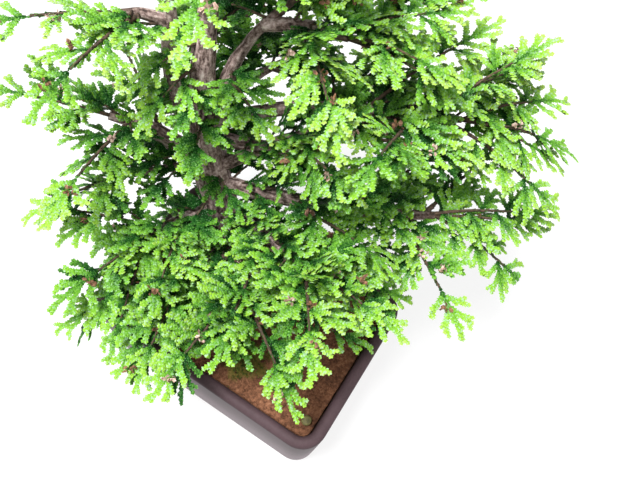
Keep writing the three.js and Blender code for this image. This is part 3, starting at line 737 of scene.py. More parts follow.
def add_cord(rows, step, a, b, turn, length, width, old, young, bend=0.0, droop=0.0):
    steps = max(1, round(length / step))
    for i in range(steps):
        share = (i + 0.5) / steps
        angle = math.radians(turn + bend * share)
        end = TIP_WIDTH if i == steps - 1 else 1.0
        rows.append((a, b, angle, width * end * (1 - TAPER * share), step * OVERLAP,
                     old + (young - old) * share ** AGE_CURVE, -droop * share * share))
        a += length / steps * math.cos(angle)
        b += length / steps * math.sin(angle)


example = []
add_cord(example, STEP, 0, 0, 0, 10, 3, 0, 1)

# %% [markdown]
# The pairs below are ranges again, from which the branchlets draw: turns in degrees, widths, droops and
# pitches in millimetres, reach and size as shares. The branchlets beside a finger are called lobes here.

# %% Branchlets of a fan
MIDDLE_FOOT, MIDDLE_WIDTH, FINGER_WIDTH, BARE_TIP = 0.6, 2.8, 3.2, 1.4
FINGER_CURL, FINGER_REACH, FINGER_BEND, FINGER_DROOP = -0.12, (0.88, 1.03), (-9, 9), (-0.4, 1.6)
FIRST_LOBE, LOBE_PITCH, LOBE_SIZE, LONGEST_LOBE = (2.6, 4.2), (3.1, 4.3), (0.65, 1.35), 4.8
LOBE_TURN, LOBE_WIDTH, LOBE_DROOP, LOBE_BEND = (30, 54), (2.5, 3.2), (-0.5, 0.7), 12


def fan_scales(fan, full, old, young, coarse=1.0):
    rows, step, size = [], STEP * coarse, fan.size
    middle = next(start for start, turn, _ in fan.fingers if turn == 0)
    add_cord(rows, step, MIDDLE_FOOT, 0, 0, middle * size, MIDDLE_WIDTH, old * 0.5, old)
    for start, turn, length in fan.fingers:
        reach, foot = length * size * chance.span(*FINGER_REACH), start * size
        bend, droop = FINGER_CURL * turn + chance.span(*FINGER_BEND), chance.span(*FINGER_DROOP)
        add_cord(rows, step, foot, 0, turn, reach, FINGER_WIDTH, old, young, bend, droop)
        r, side = chance.span(*FIRST_LOBE), chance.side()
        while r < reach - BARE_TIP:
            share = r / reach
            longest = min(0.38 * r + 0.9, 0.5 * (reach - r) + 2.2, LONGEST_LOBE)
            lobe = longest * full * chance.span(*LOBE_SIZE)
            heel = old + (young - old) * share
            toward = math.radians(turn + bend * share / 2)
            angle = turn + bend * share + side * chance.span(*LOBE_TURN)
            width, droop = chance.span(*LOBE_WIDTH), chance.span(*LOBE_DROOP)
            add_cord(rows, step, foot + r * math.cos(toward), r * math.sin(toward), angle, lobe, width,
                     heel * 0.8, min(1.0, heel + 0.25 * young), -side * LOBE_BEND, droop)
            r += chance.span(*LOBE_PITCH) * coarse
            side = -side
    return np.array(rows)


print("branchlets up to", LONGEST_LOBE, "mm,", LOBE_PITCH, "mm apart")


# %% Bend the layout over a fan
def lay_on(fan, rows):
    a, b, angle, width, length, age, lift = rows.T
    point = fan.at(a, b) + np.multiply.outer(lift, fan.face)
    slope = -FAN_ARCH / fan.size
    ca, sa = np.cos(angle), np.sin(angle)
    growth = (np.multiply.outer(ca, fan.along) + np.multiply.outer(fan.mirror * sa, fan.side)
              + np.multiply.outer(slope * (2 * a * ca + b * sa), fan.face))
    face = (fan.face + np.multiply.outer(-2 * slope * a, fan.along)
            + np.multiply.outer(-slope * b * fan.mirror, fan.side))
    return np.column_stack([point, growth, face, width, length, THICKNESS * width, age])


# %% [markdown]
# Under most fans of the solid model hangs a second, smaller one from the same stem. It is older and turned a
# little, as the shaded foliage of a real tree is, and its green is darker, partly for its age and partly as
# painted shade. Some fans carry a short third one above.
# Without these layers the tree would look like cut-out paper. Where the foliage lets light through, more fans
# stay alone: `AIRY` is the chance of that, limb by limb. `UNDER` and `OVER` hold the ranges of a layer's
# pitch, size and roll, then how far its foot is shifted along the stem.

# %% Layers of fans
AIRY = {"back_left": 1.0, "upper_left": 1.0, "big_left": 0.8, "high_front": 1.0, "back": 0.6,
        "high_left": 0.6, "right_back": 0.6, "far_right": 0.5, "right_low": 0.5}
UNDER = ((-0.34, -0.2), (0.8, 0.98), (-0.5, 0.5), -0.07)
OVER = ((0.2, 0.5), (0.55, 0.75), (-0.6, 0.6), -0.04)
FRESHNESS, LAYER_TURN, UNDER_AGE, THIRD_FAN, COARSE = (0.55, 1.05), (12, 26), (0.30, 0.55), 0.7, 1.3
STEM_WIDTH, STEM_SINK, QUARTER, WOBBLE = 1.9, 0.3, 1.57, (-0.2, 0.2)


def layer_fan(spray, fan, turn, layer):
    pitch, size, roll = (chance.span(*pair) for pair in layer[:3])
    at, shift = spray["at"], layer[3]
    away = np.linalg.norm(fan.root - at(0)) / np.linalg.norm(at(1.0) - at(0))
    direction = between(fan.along, fan.side, turn) + fan.face * pitch
    face = fan.face - fan.along * pitch + fan.side * roll
    return Fan(at(min(max(away + shift, 0.04), 0.98)), direction, face, fan.size * size, fan.fingers,
               -fan.mirror)


print("airy limbs:", *AIRY)


# %% Scales of a stem and of a whole spray
def stem_scales(at, old, young, width=STEM_WIDTH):
    rows, steps = [], max(3, int(np.linalg.norm(at(1.0) - at(0.0)) / STEP))
    for i in range(steps):
        t = i / steps
        growth = unit(at(t + 1 / steps) - at(t))
        side = unit(np.cross(growth, UP))
        roll = QUARTER * i + chance.span(*WOBBLE)
        face = np.cross(side, growth) * math.cos(roll) + side * math.sin(roll)
        rows.append([*(at(t) - face * STEM_SINK), *growth, *face, width, STEP * 1.5, width * 0.8,
                     old + (young - old) * t])
    return np.array(rows)


def spray_scales(spray):
    sheets = [stem_scales(spray["at"], 0.02, 0.2)]
    for fan in spray["fans"]:
        fresh = chance.span(*FRESHNESS)
        sheets.append(lay_on(fan, fan_scales(fan, 1.0, 0.36 * fresh, fresh)))
        turn = chance.span(*LAYER_TURN) * chance.side()
        if chance.one() < AIRY.get(spray["name"], 0.0):
            continue
        under = layer_fan(spray, fan, turn, UNDER)
        sheets.append(lay_on(under, fan_scales(under, 0.85, 0.04, chance.span(*UNDER_AGE), COARSE)))
        if chance.one() < THIRD_FAN:
            over = layer_fan(spray, fan, -turn, OVER)
            sheets.append(lay_on(over, fan_scales(over, 0.8, 0.35, 1.0)))
    return np.vstack(sheets)


# %% [markdown]
# ## Shoots on old wood
# Hinoki also shoots from its old wood. A shoot is a thin stem with a fan at its end and smaller fans on
# alternate sides. On an upright stem the shoots stand all round, each turned 137.5 degrees from the last, as
# in a fir cone. On a limb they sit on the upper side. They are what hides most of the wood from above.
# Each kind has its own ranges: `FAN_` for the side fans of a shoot, `ROUND_` and `ABOVE_` for the shoots.

# %% One shoot
FAN_TURN, FAN_ROLL, FAN_SHARE, FAN_SHADE, FAN_PITCH = (42, 62), (-0.3, 0.3), (0.68, 0.92), (0.75, 1.0), (6, 9)
SHOOT_TIP_RADIUS, SCALY_FROM, SHOOT_STEM_WIDTH = 0.45, 0.35, 1.7


def straight(foot, aim, length, sag):
    return lambda t: foot + aim * length * t - UP * length * sag * t * t


def grow_shoot(at, face, size, old, young, sheets, wood=0.75):
    length = length_of(at)
    twig_wood.add(at, even_radius(wood, SHOOT_TIP_RADIUS), 3.0, 0.3)
    sheets.append(stem_scales(lambda t: at(SCALY_FROM + (1 - SCALY_FROM) * t), 0.0, 0.3, SHOOT_STEM_WIDTH))
    end = Fan(at(0.96), heading(at, 1.0), face, size, END_FINGERS, 1)
    sheets.append(lay_on(end, fan_scales(end, 0.95, old, young)))
    side, reach = chance.side(), max(4.0, length * 0.22)
    while reach < length - 3:
        t = reach / length
        forward = heading(at, t)
        across = unit(np.cross(face, forward)) * side
        aim = between(forward, across, chance.span(*FAN_TURN))
        fan = Fan(at(t), aim, face + across * chance.span(*FAN_ROLL), size * chance.span(*FAN_SHARE),
                  SIDE_FINGERS, side)
        shade = chance.span(*FAN_SHADE)
        sheets.append(lay_on(fan, fan_scales(fan, 0.9, old * shade, young * shade)))
        reach += chance.span(*FAN_PITCH)
        side = -side


print("side fans of a shoot stand", FAN_PITCH, "mm apart")

# %% Shoots round a stem and above a limb
GOLDEN_ANGLE, SIDES = 137.5, (1, 0, -1, 0)
ROUND_RISE, ROUND_LENGTH, ROUND_SAG, ROUND_AGE = (0.25, 0.9), (12, 24), (0.0, 0.25), (0.35, 0.95)
ROUND_FACE, ROUND_SIZE, ROUND_GAP = (0.0, 0.6), (19, 26), (0.7, 1.3)
ABOVE_TURN, ABOVE_RISES, ABOVE_LENGTH = (28, 74), [(0.15, 0.75), (0.5, 1.0)], (6, 15)
ABOVE_FACE, ABOVE_ROLL, ABOVE_SIZE, ABOVE_AGE = (-0.1, 0.5), (-0.3, 0.3), (17, 24), (0.35, 1.0)
ABOVE_GAP = (0.75, 1.25)


def shoots_round(at, radius_at, first, last, spacing, sheets):
    length = length_of(at)
    reach, turn = first * length, chance.span(0, 360)
    while reach < last * length:
        t, out = reach / length, compass(turn)
        aim = unit(out + UP * chance.span(*ROUND_RISE))
        foot = at(t) + out * radius_at(t) * 0.6
        shoot = straight(foot, aim, chance.span(*ROUND_LENGTH), chance.span(*ROUND_SAG))
        young = chance.span(*ROUND_AGE)
        face, size = UP + out * chance.span(*ROUND_FACE), chance.span(*ROUND_SIZE)
        grow_shoot(shoot, face, size, 0.12, young, sheets)
        turn += GOLDEN_ANGLE
        reach += spacing * chance.span(*ROUND_GAP)


def shoots_above(at, radius_at, first, last, spacing, sheets):
    length = length_of(at)
    reach, i = first * length, 0
    while reach < min(last * length, length - 2):
        t = reach / length
        forward = heading(at, t)
        sideways = unit(np.cross(UP, forward)) * SIDES[i % 4]
        spread = between(forward, sideways, chance.span(*ABOVE_TURN))
        aim = unit(spread + UP * chance.span(*ABOVE_RISES[i % 2]))
        foot = at(t) + unit(UP * 0.7 + sideways * 0.5) * radius_at(t) * 0.7
        shoot = straight(foot, aim, chance.span(*ABOVE_LENGTH), 0.1)
        face = UP + aim * chance.span(*ABOVE_FACE) + sideways * chance.span(*ABOVE_ROLL)
        grow_shoot(shoot, face, chance.span(*ABOVE_SIZE), 0.1, chance.span(*ABOVE_AGE), sheets)
        reach += spacing * chance.span(*ABOVE_GAP)
        i += 1


print("shoots are", ROUND_LENGTH, "mm long round a stem and", ABOVE_LENGTH, "mm above a limb")

# %% [markdown]
# How thickly a stem, limb or twig is set with shoots differs over the tree. A row says where along it the
# shoots begin and end, as shares of its length, and how many millimetres apart they stand.

# %% Shoots all over the tree
STEM_SHOOTS = {"trunk": [(0.2, 0.48, 5), (0.48, 0.97, 28)], "left_stem": [(0.15, 0.9, 45)],
               "right_stem": [(0.2, 0.97, 18)]}
LIMB_SHOOTS = {"big_left": (0.5, 1, 24), "upper_left": (0.7, 1, 30), "back_left": (0.6, 1, 26),
               "back": (0.4, 1, 16), "thin_left": (0.35, 1, 13), "right_back": (0.55, 1, 12),
               "far_right": (0.6, 1, 12), "right_low": (0.06, 0.7, 5), "right_front": (0.05, 1, 4.5)}
OTHER_LIMBS, OTHER_TWIGS = (0.12, 1, 7), 5
TWIG_SPACING = {"big_left": 12, "upper_left": 14, "back_left": 14, "thin_left": 10, "right_low": 9,
                "right_back": 9, "far_right": 8}
KINDS = ("stem", "limb", "twig")
inner_shoots = []
for kind, name, at, radius_at in sorted(bones, key=lambda bone: KINDS.index(bone[0])):
    sheets = []
    if kind == "stem":
        for span in STEM_SHOOTS[name]:
            shoots_round(at, radius_at, *span, sheets)
    elif kind == "limb":
        shoots_above(at, radius_at, *LIMB_SHOOTS.get(name, OTHER_LIMBS), sheets)
    else:
        sheets.append(stem_scales(at, 0.0, 0.1, 3.0))
        shoots_above(at, radius_at, 0.25, 1, TWIG_SPACING.get(name, OTHER_TWIGS), sheets)
    inner_shoots.append((name, sheets))
print(len(inner_shoots), "stems, limbs and twigs carry shoots")

# %% [markdown]
# The longest shoots are this year's leaders. They stretch out past the flat sprays on the side where the
# light comes from, so each one has its own row in the list: the stem or limb it leaves, how far along, where
# its tip is and how large its fans are.

# %% Leaders
LEADERS = [("far_right", 0.55, (34, 124, 184), 25), ("far_right", 0.8, (58, 122, 180), 25),
           ("far_right", 1.0, (76, 130, 166), 27), ("far_right", 1.0, (86, 114, 156), 27),
           ("far_right", 0.9, (96, 98, 150), 26), ("right_low", 0.85, (100, 96, 130), 26),
           ("right_low", 1.0, (108, 76, 110), 26), ("right_front", 0.95, (57, 36, 104), 16),
           ("right_low", 0.35, (12, 58, 124), 24), ("right_low", 0.5, (30, 60, 126), 24),
           ("right_low", 0.6, (44, 74, 124), 24), ("front_left", 0.9, (-56, -44, 88), 26),
           ("front_left", 1.0, (-44, -52, 84), 26), ("front", 1.0, (-30, -54, 82), 26),
           ("front", 0.9, (-14, -44, 84), 25), ("front_right", 0.95, (52, 2, 92), 24),
           ("upper_right", 0.9, (18, 104, 206), 25), ("upper_right", 1.0, (26, 84, 200), 25),
           ("trunk", 0.52, (-70, 28, 161), 24), ("trunk", 0.57, (-76, 36, 172), 22),
           ("trunk", 0.42, (-54, 28, 139), 23), ("right_stem", 0.35, (-36, 50, 158), 24),
           ("right_front", 1.0, (60, 28, 108), 24), ("far_right", 0.85, (60, 124, 188), 24)]
LEADER_ARCH, LEADER_WOOD = 3, 1.1
for name, share, tip, size in LEADERS:
    foot, tip = LINES[name](share), np.array(tip, float)
    leader = smooth_path([foot, (foot + tip) / 2 + UP * LEADER_ARCH, tip])
    sheets = []
    grow_shoot(leader, UP + heading(leader, 1.0) * 0.3, size, 0.25, 1.0, sheets, LEADER_WOOD)
    inner_shoots.append((name, sheets))
print(len(LEADERS), "leaders")

# %% [markdown]
# Among the green hang small dry bits: spent flowers and dead scales, pinkish white to tan. Each is a loose
# knot of ten scales that point any way, caught on the face of a fan.

# %% Dry bits
KNOT, NO_KNOT, KNOT_LIFT, KNOT_SPREAD = 10, 0.5, 2.4, (0.6, 2.8)
DRY_SIZE, DRY_LENGTH, DRY_THICKNESS = (1.1, 2.1), 1.3, 0.7


def any_way():
    return unit(np.array([chance.span(-1, 1) for _ in range(3)]) + UP * 0.001)


dry_rows = []
for fan in [fan for spray in sprays for fan in spray["fans"]]:
    if chance.one() < NO_KNOT:
        continue
    knot = fan.at(chance.span(1.0, 0.55 * fan.size), chance.span(-5.0, 5.0)) + fan.face * KNOT_LIFT
    hue = chance.one()
    for _ in range(KNOT):
        growth = any_way()
        face = unit(np.cross(growth, any_way()))
        spot = knot + any_way() * chance.span(*KNOT_SPREAD)
        size = chance.span(*DRY_SIZE)
        dry_rows.append([*spot, *growth, *face, size, size * DRY_LENGTH, DRY_THICKNESS, hue])
dry_rows = np.array(dry_rows)
print(len(dry_rows) // KNOT, "dry bits")

# %% [markdown]
# ## Six pieces of foliage
# The fine fans are gathered into six pieces, by the limbs that they grow on. Joints that would stand outside
# the solid model's box are left out, so that the finished tree is no larger than its solids.

# %% Gather the foliage
REGIONS = {
    "foliage_left": ("big_left", "thin_left", "upper_left", "left_stem"),
    "foliage_front": ("front_left", "front", "front_right"),
    "foliage_right_front": ("right_front", "right_low"),
    "foliage_right_back": ("right_back", "diagonal", "far_right"),
    "foliage_back": ("back", "back_left", "upper_back", "upper_right", "right_stem"),
    "foliage_crown": ("high_right", "high_left", "high_front", "top_back", "trunk"),
}
REGION_OF = {name: region for region, names in REGIONS.items() for name in names}
EDGE = 1.6
low, high = np.array(solid_low) / MM - POT_CENTRE + EDGE, np.array(solid_high) / MM - POT_CENTRE - EDGE


def keep_inside(rows):
    foot, tip = rows[:, :3], rows[:, :3] + rows[:, 3:6] * rows[:, 10:11]
    return rows[((foot > low) & (foot < high) & (tip > low) & (tip < high)).all(1)]


regions = {region: [] for region in REGIONS}
for number, spray in enumerate(sprays, 1):
    node = f"spray_{number:02d}_{spray['name']}"
    regions[REGION_OF[spray["name"]]].append((node, keep_inside(spray_scales(spray))))
for name, sheets in inner_shoots:
    regions[REGION_OF[name]].append((None, keep_inside(np.vstack(sheets))))
print(sum(len(rows) for parts in regions.values() for _, rows in parts), "joints of scales")

# %% [markdown]
# A spray under other sprays gets little light, so its green is darkened here as painted shade. To know how
# much hangs above a joint, the joints are counted in cells of a grid, and each cell then adds up what lies
# over it. The green is also painted lighter the higher a joint sits and darker low down, as painted light and
# shade over the crown.

# %% Shade
CELL, CELLS_ABOVE, FULL_SHADE, DARKENING = 6.0, 2, 26.0, 0.55
HEIGHT_LIGHT, HEIGHT_LIGHT_RISE, LEAST_HEIGHT_LIGHT, MOST_HEIGHT_LIGHT = 0.52, 0.0032, 0.75, 1.08
places = np.vstack([rows[:, :3] for parts in regions.values() for _, rows in parts])
corner = places.min(axis=0) - CELL


def cells_of(spots):
    return tuple(((spots - corner) // CELL).astype(int).T)


heap = np.zeros(((places.max(axis=0) - corner) // CELL).astype(int) + 4)
np.add.at(heap, cells_of(places), 1)
above = np.zeros_like(heap)
above[:, :, :-CELLS_ABOVE] = heap[:, :, ::-1].cumsum(axis=2)[:, :, ::-1][:, :, CELLS_ABOVE:]
above = sum(np.roll(above, (i, j), (0, 1)) for i in (-1, 0, 1) for j in (-1, 0, 1)) / 9
# Painted light and shade: each joint's age is raised with its height and lowered by the joints above it.
for parts in regions.values():
    for _, rows in parts:
        height_light = np.clip(HEIGHT_LIGHT + HEIGHT_LIGHT_RISE * rows[:, 2], LEAST_HEIGHT_LIGHT, MOST_HEIGHT_LIGHT)
        rows[:, 12] *= height_light * (1 - DARKENING * (1 - np.exp(-above[cells_of(rows[:, :3])] / FULL_SHADE)))
        rows[:, 12] = rows[:, 12].clip(0, 1)
print("a joint has", round(float(above[cells_of(places)].mean())), "others over it on average")

# %% [markdown]
# ## Sweeping the wood
# By now every shoot has added its own thin twig. Each curve is swept with a round profile, whose angle and
# the length along the curve give the coordinates `furrow`. Two noises push the skin along its normals: a
# stretched one for the strips of bark and a large one for the swellings of old wood.

# %% Sweep the limbs
WOOD_SIDES, TWIG_SIDES = 26, 8
STRIP_LEVEL, STRIP_DEPTH, SWELL_SCALE, SWELL_LEVEL, SWELL_DEPTH = 0.55, 2.6, 60.0, 0.5, 2.0
limbs = Recipe("limbs", Sides=("Int", WOOD_SIDES), Furrow_length=("Float", 0.22), Furrows=("Float", 330.0))
girth, around = limbs.attribute("girth"), limbs.attribute("around")
rail = limbs.node("GeometryNodeMeshToCurve", Mesh=limbs.given("Geometry"))
rail = limbs.store(rail, "along", limbs.node("GeometryNodeSplineParameter", output="Length"))
rail = limbs.node("GeometryNodeSetCurveRadius", Curve=rail, Radius=girth)
hoop = limbs.node("GeometryNodeCurvePrimitiveCircle", Resolution=limbs.given("Sides"), Radius=1.0)
hoop = limbs.store(hoop, "around", limbs.node("GeometryNodeSplineParameter", output="Factor") * math.tau)
skin = limbs.node("GeometryNodeCurveToMesh", Curve=rail, Profile_Curve=hoop, Fill_Caps=True, Scale=girth)
place = limbs.node("ShaderNodeCombineXYZ", X=around.maths("COSINE") * girth, Y=around.maths("SINE") * girth,
                   Z=limbs.attribute("along") * limbs.given("Furrow_length"))
skin = limbs.store(skin, "furrow", place, "FLOAT_VECTOR")
strip = limbs.node("ShaderNodeTexNoise", Vector=limbs.attribute("furrow", "FLOAT_VECTOR"),
                   Scale=limbs.given("Furrows"), Detail=4.0)
swell = limbs.node("ShaderNodeTexNoise", Vector=limbs.node("GeometryNodeInputPosition"), Scale=SWELL_SCALE,
                   Detail=2.0)
push = (strip - STRIP_LEVEL) * STRIP_DEPTH + (swell - SWELL_LEVEL) * SWELL_DEPTH
push = limbs.vector("SCALE", limbs.node("GeometryNodeInputNormal"), push * limbs.attribute("relief"))
skin = limbs.node("GeometryNodeSetPosition", Geometry=skin, Offset=push)
for name, wood, sides in (("old_wood", old_wood, WOOD_SIDES), ("twigs", twig_wood, TWIG_SIDES)):
    piece = limbs.bake(skin, wood.curves(name), name, bark.material, keep=("furrow", "girth"), Sides=sides)
    piece.data.shade_smooth()
    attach(piece, "root")
    if wood is old_wood:
        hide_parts("wood")

# %% [markdown]
# ## Foliage finish
# New growth on a hinoki is a fresh yellowish green, the shoots behind it are grass green, and old inner
# foliage is dark green, painted almost black where it lies deepest, as painted shade. All of that follows the
# age that each joint carries, which also holds the painted light and shade of the cell Shade, with a little
# noise so that no two neighbours match, and silvery flecks that are partly wax on the scales and partly
# painted glints. The attribute `crown` darkens the clefts between joints as painted shade and gives each tip
# a pale hem as a painted highlight. A thin coat gives younger foliage its waxy light.

# %% Foliage
leaf = Finish("scale_leaves", Coat_Roughness=0.35, Coat_IOR=1.45, Specular_IOR_Level=0.08)
age, crown, place = leaf.attribute("age"), leaf.attribute("crown"), leaf.place()
mottle, patches = leaf.noise(place, 1500, 3, 0.65), leaf.noise(place, 55, 2, 0.5)
ripe = age + 0.09 + (mottle - 0.5) * 0.75 + (patches - 0.5) * 0.36
# Painted shade: the lowest stops run down to almost black, for the deepest foliage.
green = leaf.ramp(ripe, (0.06, (0.001, 0.015, 0.002)), (0.22, (0.010, 0.076, 0.008)),
                  (0.40, (0.105, 0.300, 0.018)), (0.66, (0.222, 0.470, 0.026)),
                  (0.86, (0.274, 0.490, 0.042)), (1.0, (0.330, 0.508, 0.080)))
# Silvery flecks, partly the wax on the scales and partly painted glints.
wax_and_glint = leaf.noise(place, 800, 3, 0.6).smooth(0.50, 0.64) * 0.85 * age.smooth(0.10, 0.60)
green = leaf.mix(wax_and_glint, green, (0.350, 0.540, 0.380))
# Painted shade: the foot of each joint, under the tip of the one before, is darkened.
ridge = crown.smooth(0.0, 0.75)
green = leaf.mix(ridge * 0.48 + 0.58, (0.002, 0.022, 0.002), green)
# Painted highlight: a pale hem on the tip of each joint.
tip_highlight = crown.smooth(0.82, 0.98) * (0.04 + mottle * 0.36)
green = leaf.mix(tip_highlight, green, (0.520, 0.680, 0.330))
# Pale flecks on the crowns of older joints, partly the pale bloom of the scales and partly painted glints.
bloom_and_glint = leaf.noise(place, 1500, 2, 0.6).smooth(0.60, 0.74) * (1.15 - age) * 0.5 * ridge
green = leaf.mix(bloom_and_glint, green, (0.36, 0.50, 0.40))
leaf.set(Base_Color=green, Roughness=0.30 + mottle * 0.25, Normal=leaf.bump(mottle, 0.0006, 1.0),
         Coat_Weight=(0.04 + mottle * 0.24) * age.smooth(0.05, 0.55))

# %% [markdown]
# Tens of thousands of joints are one small mesh, set again and again. Each row of the lists above becomes a
# bare point that carries its growth direction, its face, its size and its age, and Geometry Nodes puts a
# joint on each point, turned to match. A small random tilt keeps the rows from looking ruled.

# %% Set the scales on their branchlets
pair = Recipe("scale_pairs", Scale_pair=("Object", scale_pair), Leaf_size=("Vector", (1.0, 1.0, 1.0)),
              Loose=("Float", 0.10), Seed=("Int", 11))
facing = pair.node("FunctionNodeAxesToRotation", {"primary_axis": "Y", "secondary_axis": "Z"},
                   Primary_Axis=pair.attribute("growth", "FLOAT_VECTOR"),
                   Secondary_Axis=pair.attribute("face", "FLOAT_VECTOR"))
size = pair.vector("MULTIPLY", pair.attribute("size", "FLOAT_VECTOR"), pair.given("Leaf_size"))
set_out = pair.node("GeometryNodeInstanceOnPoints", Points=pair.given("Geometry"),
                    Instance=pair.shape_of("Scale_pair"), Rotation=facing, Scale=size)
loose = pair.given("Loose")
tilt = pair.random("FLOAT_VECTOR", loose * -1.0, loose)
set_out = pair.node("GeometryNodeRotateInstances", Instances=set_out, Rotation=tilt)


def joints_object(name, rows):
    dots = new_object(name + "_points", rows[:, :3], [])
    add_attribute(dots, "growth", "FLOAT_VECTOR", rows[:, 3:6])
    add_attribute(dots, "face", "FLOAT_VECTOR", rows[:, 6:9])
    add_attribute(dots, "size", "FLOAT_VECTOR", rows[:, 9:12] * MM)
    add_attribute(dots, "age", "FLOAT", rows[:, 12])
    return dots


for name, parts in regions.items():
    dots = joints_object(name, np.vstack([rows for _, rows in parts]))
    piece = pair.bake(set_out, dots, name, leaf.material, keep=("age", "crown"))
    names = [node for node, _ in parts if node]
    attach(piece, "root")
    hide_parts(*names)

# %% [markdown]
# The dry bits are the same joints with a papery finish of their own. Here the age only says which of the two
# kinds a knot is: a pale spent flower or a rusty dead tip.

# %% Dry bits of last year
withered = Finish("dry_scales", Roughness=0.8)
husk = withered.noise(withered.place(), 700, 3, 0.6)
pale = withered.ramp(husk, (0.35, (0.200, 0.110, 0.070)), (0.55, (0.520, 0.370, 0.300)),
                     (0.70, (0.700, 0.600, 0.540)))
rusty = withered.ramp(husk, (0.35, (0.070, 0.030, 0.016)), (0.65, (0.300, 0.150, 0.075)))
kind = withered.attribute("age").smooth(0.45, 0.55)
withered.set(Base_Color=withered.mix(kind, pale, rusty), Roughness=0.9 - husk * 0.3,
             Normal=withered.bump(husk, 0.0002, 0.5))
piece = pair.bake(set_out, joints_object("dry_bits", dry_rows), "dry_bits", withered.material, keep=("age",))
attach(piece, "root")

# %% [markdown]
# ## The pot
# Bonsai pots are thrown or pressed in stoneware and glazed outside, with unglazed feet and drain holes. This
# one is a rounded rectangle that widens towards a soft lip. It could be a bevelled box, but a list of
# heights and insets is closer to how a potter thinks of a wall. Each pair becomes one ring of points.

# %% Rings of the pot
POT_LENGTH, POT_DEPTH, CORNER = 150, 105.2, 14
OUTER = [(6, 2.5), (6.3, 2.2), (7.2, 1.9), (8.5, 1.7), (14, 1.5), (22, 1.2), (31, 0.9), (40, 0.6),
         (49, 0.35), (55, 0.2), (57, 0.12), (58.2, 0.05), (59.2, 0.0), (60.0, 0.15), (60.7, 0.55),
         (61.3, 1.2), (61.7, 2.0)]
INNER = [(61.9, 2.8), (61.95, 3.6), (61.7, 4.5), (61.1, 5.4), (60.3, 6.1), (59, 6.6), (56, 6.8), (40, 7.5),
         (17, 8.6), (13, 9.6), (12, 10.6)]
FOOT_LENGTH, FOOT_DEPTH, FOOT_CORNER, FOOT_X, FOOT_Y = 26, 20, 6, 54, 34.6
FOOT = [(0, 1.0), (0.3, 0.4), (1.0, 0.1), (7.5, 0.0)]
DRAIN_X, DRAIN_RADIUS, DRAIN_POINTS, DRAIN_HEIGHTS = 34, 5, 24, (6, 12)
CORNERS = np.array([(1, 1), (-1, 1), (-1, -1), (1, -1)])
BEND_STEPS, SIDE_STEPS = 10, 8


def pot_ring(height, inset, length=POT_LENGTH, depth=POT_DEPTH, corner=CORNER, middle=(0, 0)):
    radius = corner * (1 - inset / corner)
    reach = np.array([length / 2 - corner, depth / 2 - corner])

    def bend(which, angle):
        return CORNERS[which % 4] * reach + radius * np.array([math.cos(angle), math.sin(angle)])
    ring = []
    for quarter in range(4):
        ring += [bend(quarter, math.pi / 2 * (quarter + i / BEND_STEPS)) for i in range(BEND_STEPS + 1)]
        one, two = ring[-1], bend(quarter + 1, math.pi / 2 * (quarter + 1))
        ring += [one + (two - one) * i / SIDE_STEPS for i in range(1, SIDE_STEPS)]
    return [(middle[0] + px, middle[1] + py, height) for px, py in ring]


def drain_ring(side, height):
    turns = [math.tau * i / DRAIN_POINTS for i in range(DRAIN_POINTS)]
    return [(side * DRAIN_X + DRAIN_RADIUS * math.cos(turn), DRAIN_RADIUS * math.sin(turn), height)
            for turn in turns]


print("a ring of the wall has", len(pot_ring(0, 0)), "points")

# %% [markdown]
# A potter joins slabs; here a skin of four-sided faces joins each ring to the next. The floor has to leave
# two holes free, so each of its two sides is a flat area between the ring where the wall ends and the rings
# of the holes. The feet are small closed blocks that reach a little into the floor.

# %% Skins between rings
def add_rings(work, rings):
    return [[work.verts.new(point) for point in ring] for ring in rings]


def skin_rings(work, rings):
    for one, two in zip(rings, rings[1:]):
        for i in range(len(one)):
            work.faces.new((one[i - 1], one[i], two[i], two[i - 1]))


def fill_between(work, *rings):
    edges = []
    for ring in rings:
        for i in range(len(ring)):
            edges.append(work.edges.get((ring[i - 1], ring[i])) or work.edges.new((ring[i - 1], ring[i])))
    bmesh.ops.triangle_fill(work, edges=edges, use_beauty=True)


# %% Build the pot with its feet and drain holes
work = bmesh.new()
wall = add_rings(work, [pot_ring(height, inset) for height, inset in OUTER + INNER])
skin_rings(work, wall)
drains = [add_rings(work, [drain_ring(side, height) for height in DRAIN_HEIGHTS]) for side in (-1, 1)]
for drain in drains:
    skin_rings(work, drain)
fill_between(work, wall[0], drains[0][0], drains[1][0])
fill_between(work, wall[-1], drains[0][1], drains[1][1])
for x, y in ((-FOOT_X, -FOOT_Y), (FOOT_X, -FOOT_Y), (FOOT_X, FOOT_Y), (-FOOT_X, FOOT_Y)):
    foot = add_rings(work, [pot_ring(height, inset, FOOT_LENGTH, FOOT_DEPTH, FOOT_CORNER, (x, y))
                            for height, inset in FOOT])
    skin_rings(work, foot)
    work.faces.new(foot[0])
    work.faces.new(foot[-1])
bmesh.ops.recalc_face_normals(work, faces=work.faces)
bmesh.ops.transform(work, matrix=Matrix.Translation(POT_CENTRE), verts=work.verts)
bmesh.ops.scale(work, vec=(MM, MM, MM), verts=work.verts)
pot_piece = link(from_bmesh("glazed_pot", work))
pot_piece.data.shade_smooth()
pot_piece.modifiers.new("crisp_edges", "WEIGHTED_NORMAL")
print("pot:", triangles(pot_piece), "triangles")

# %% [markdown]
# ## Satin glaze
# The glaze is a quiet mauve brown with a satin skin. It is speckled all over, and it stops short of the feet,
# which show the bare clay. Its colour is painted paler low on the wall, as a painted reflection of the white
# floor, and darker towards the lip, as painted shade under the foliage. The lip is the dullest part.

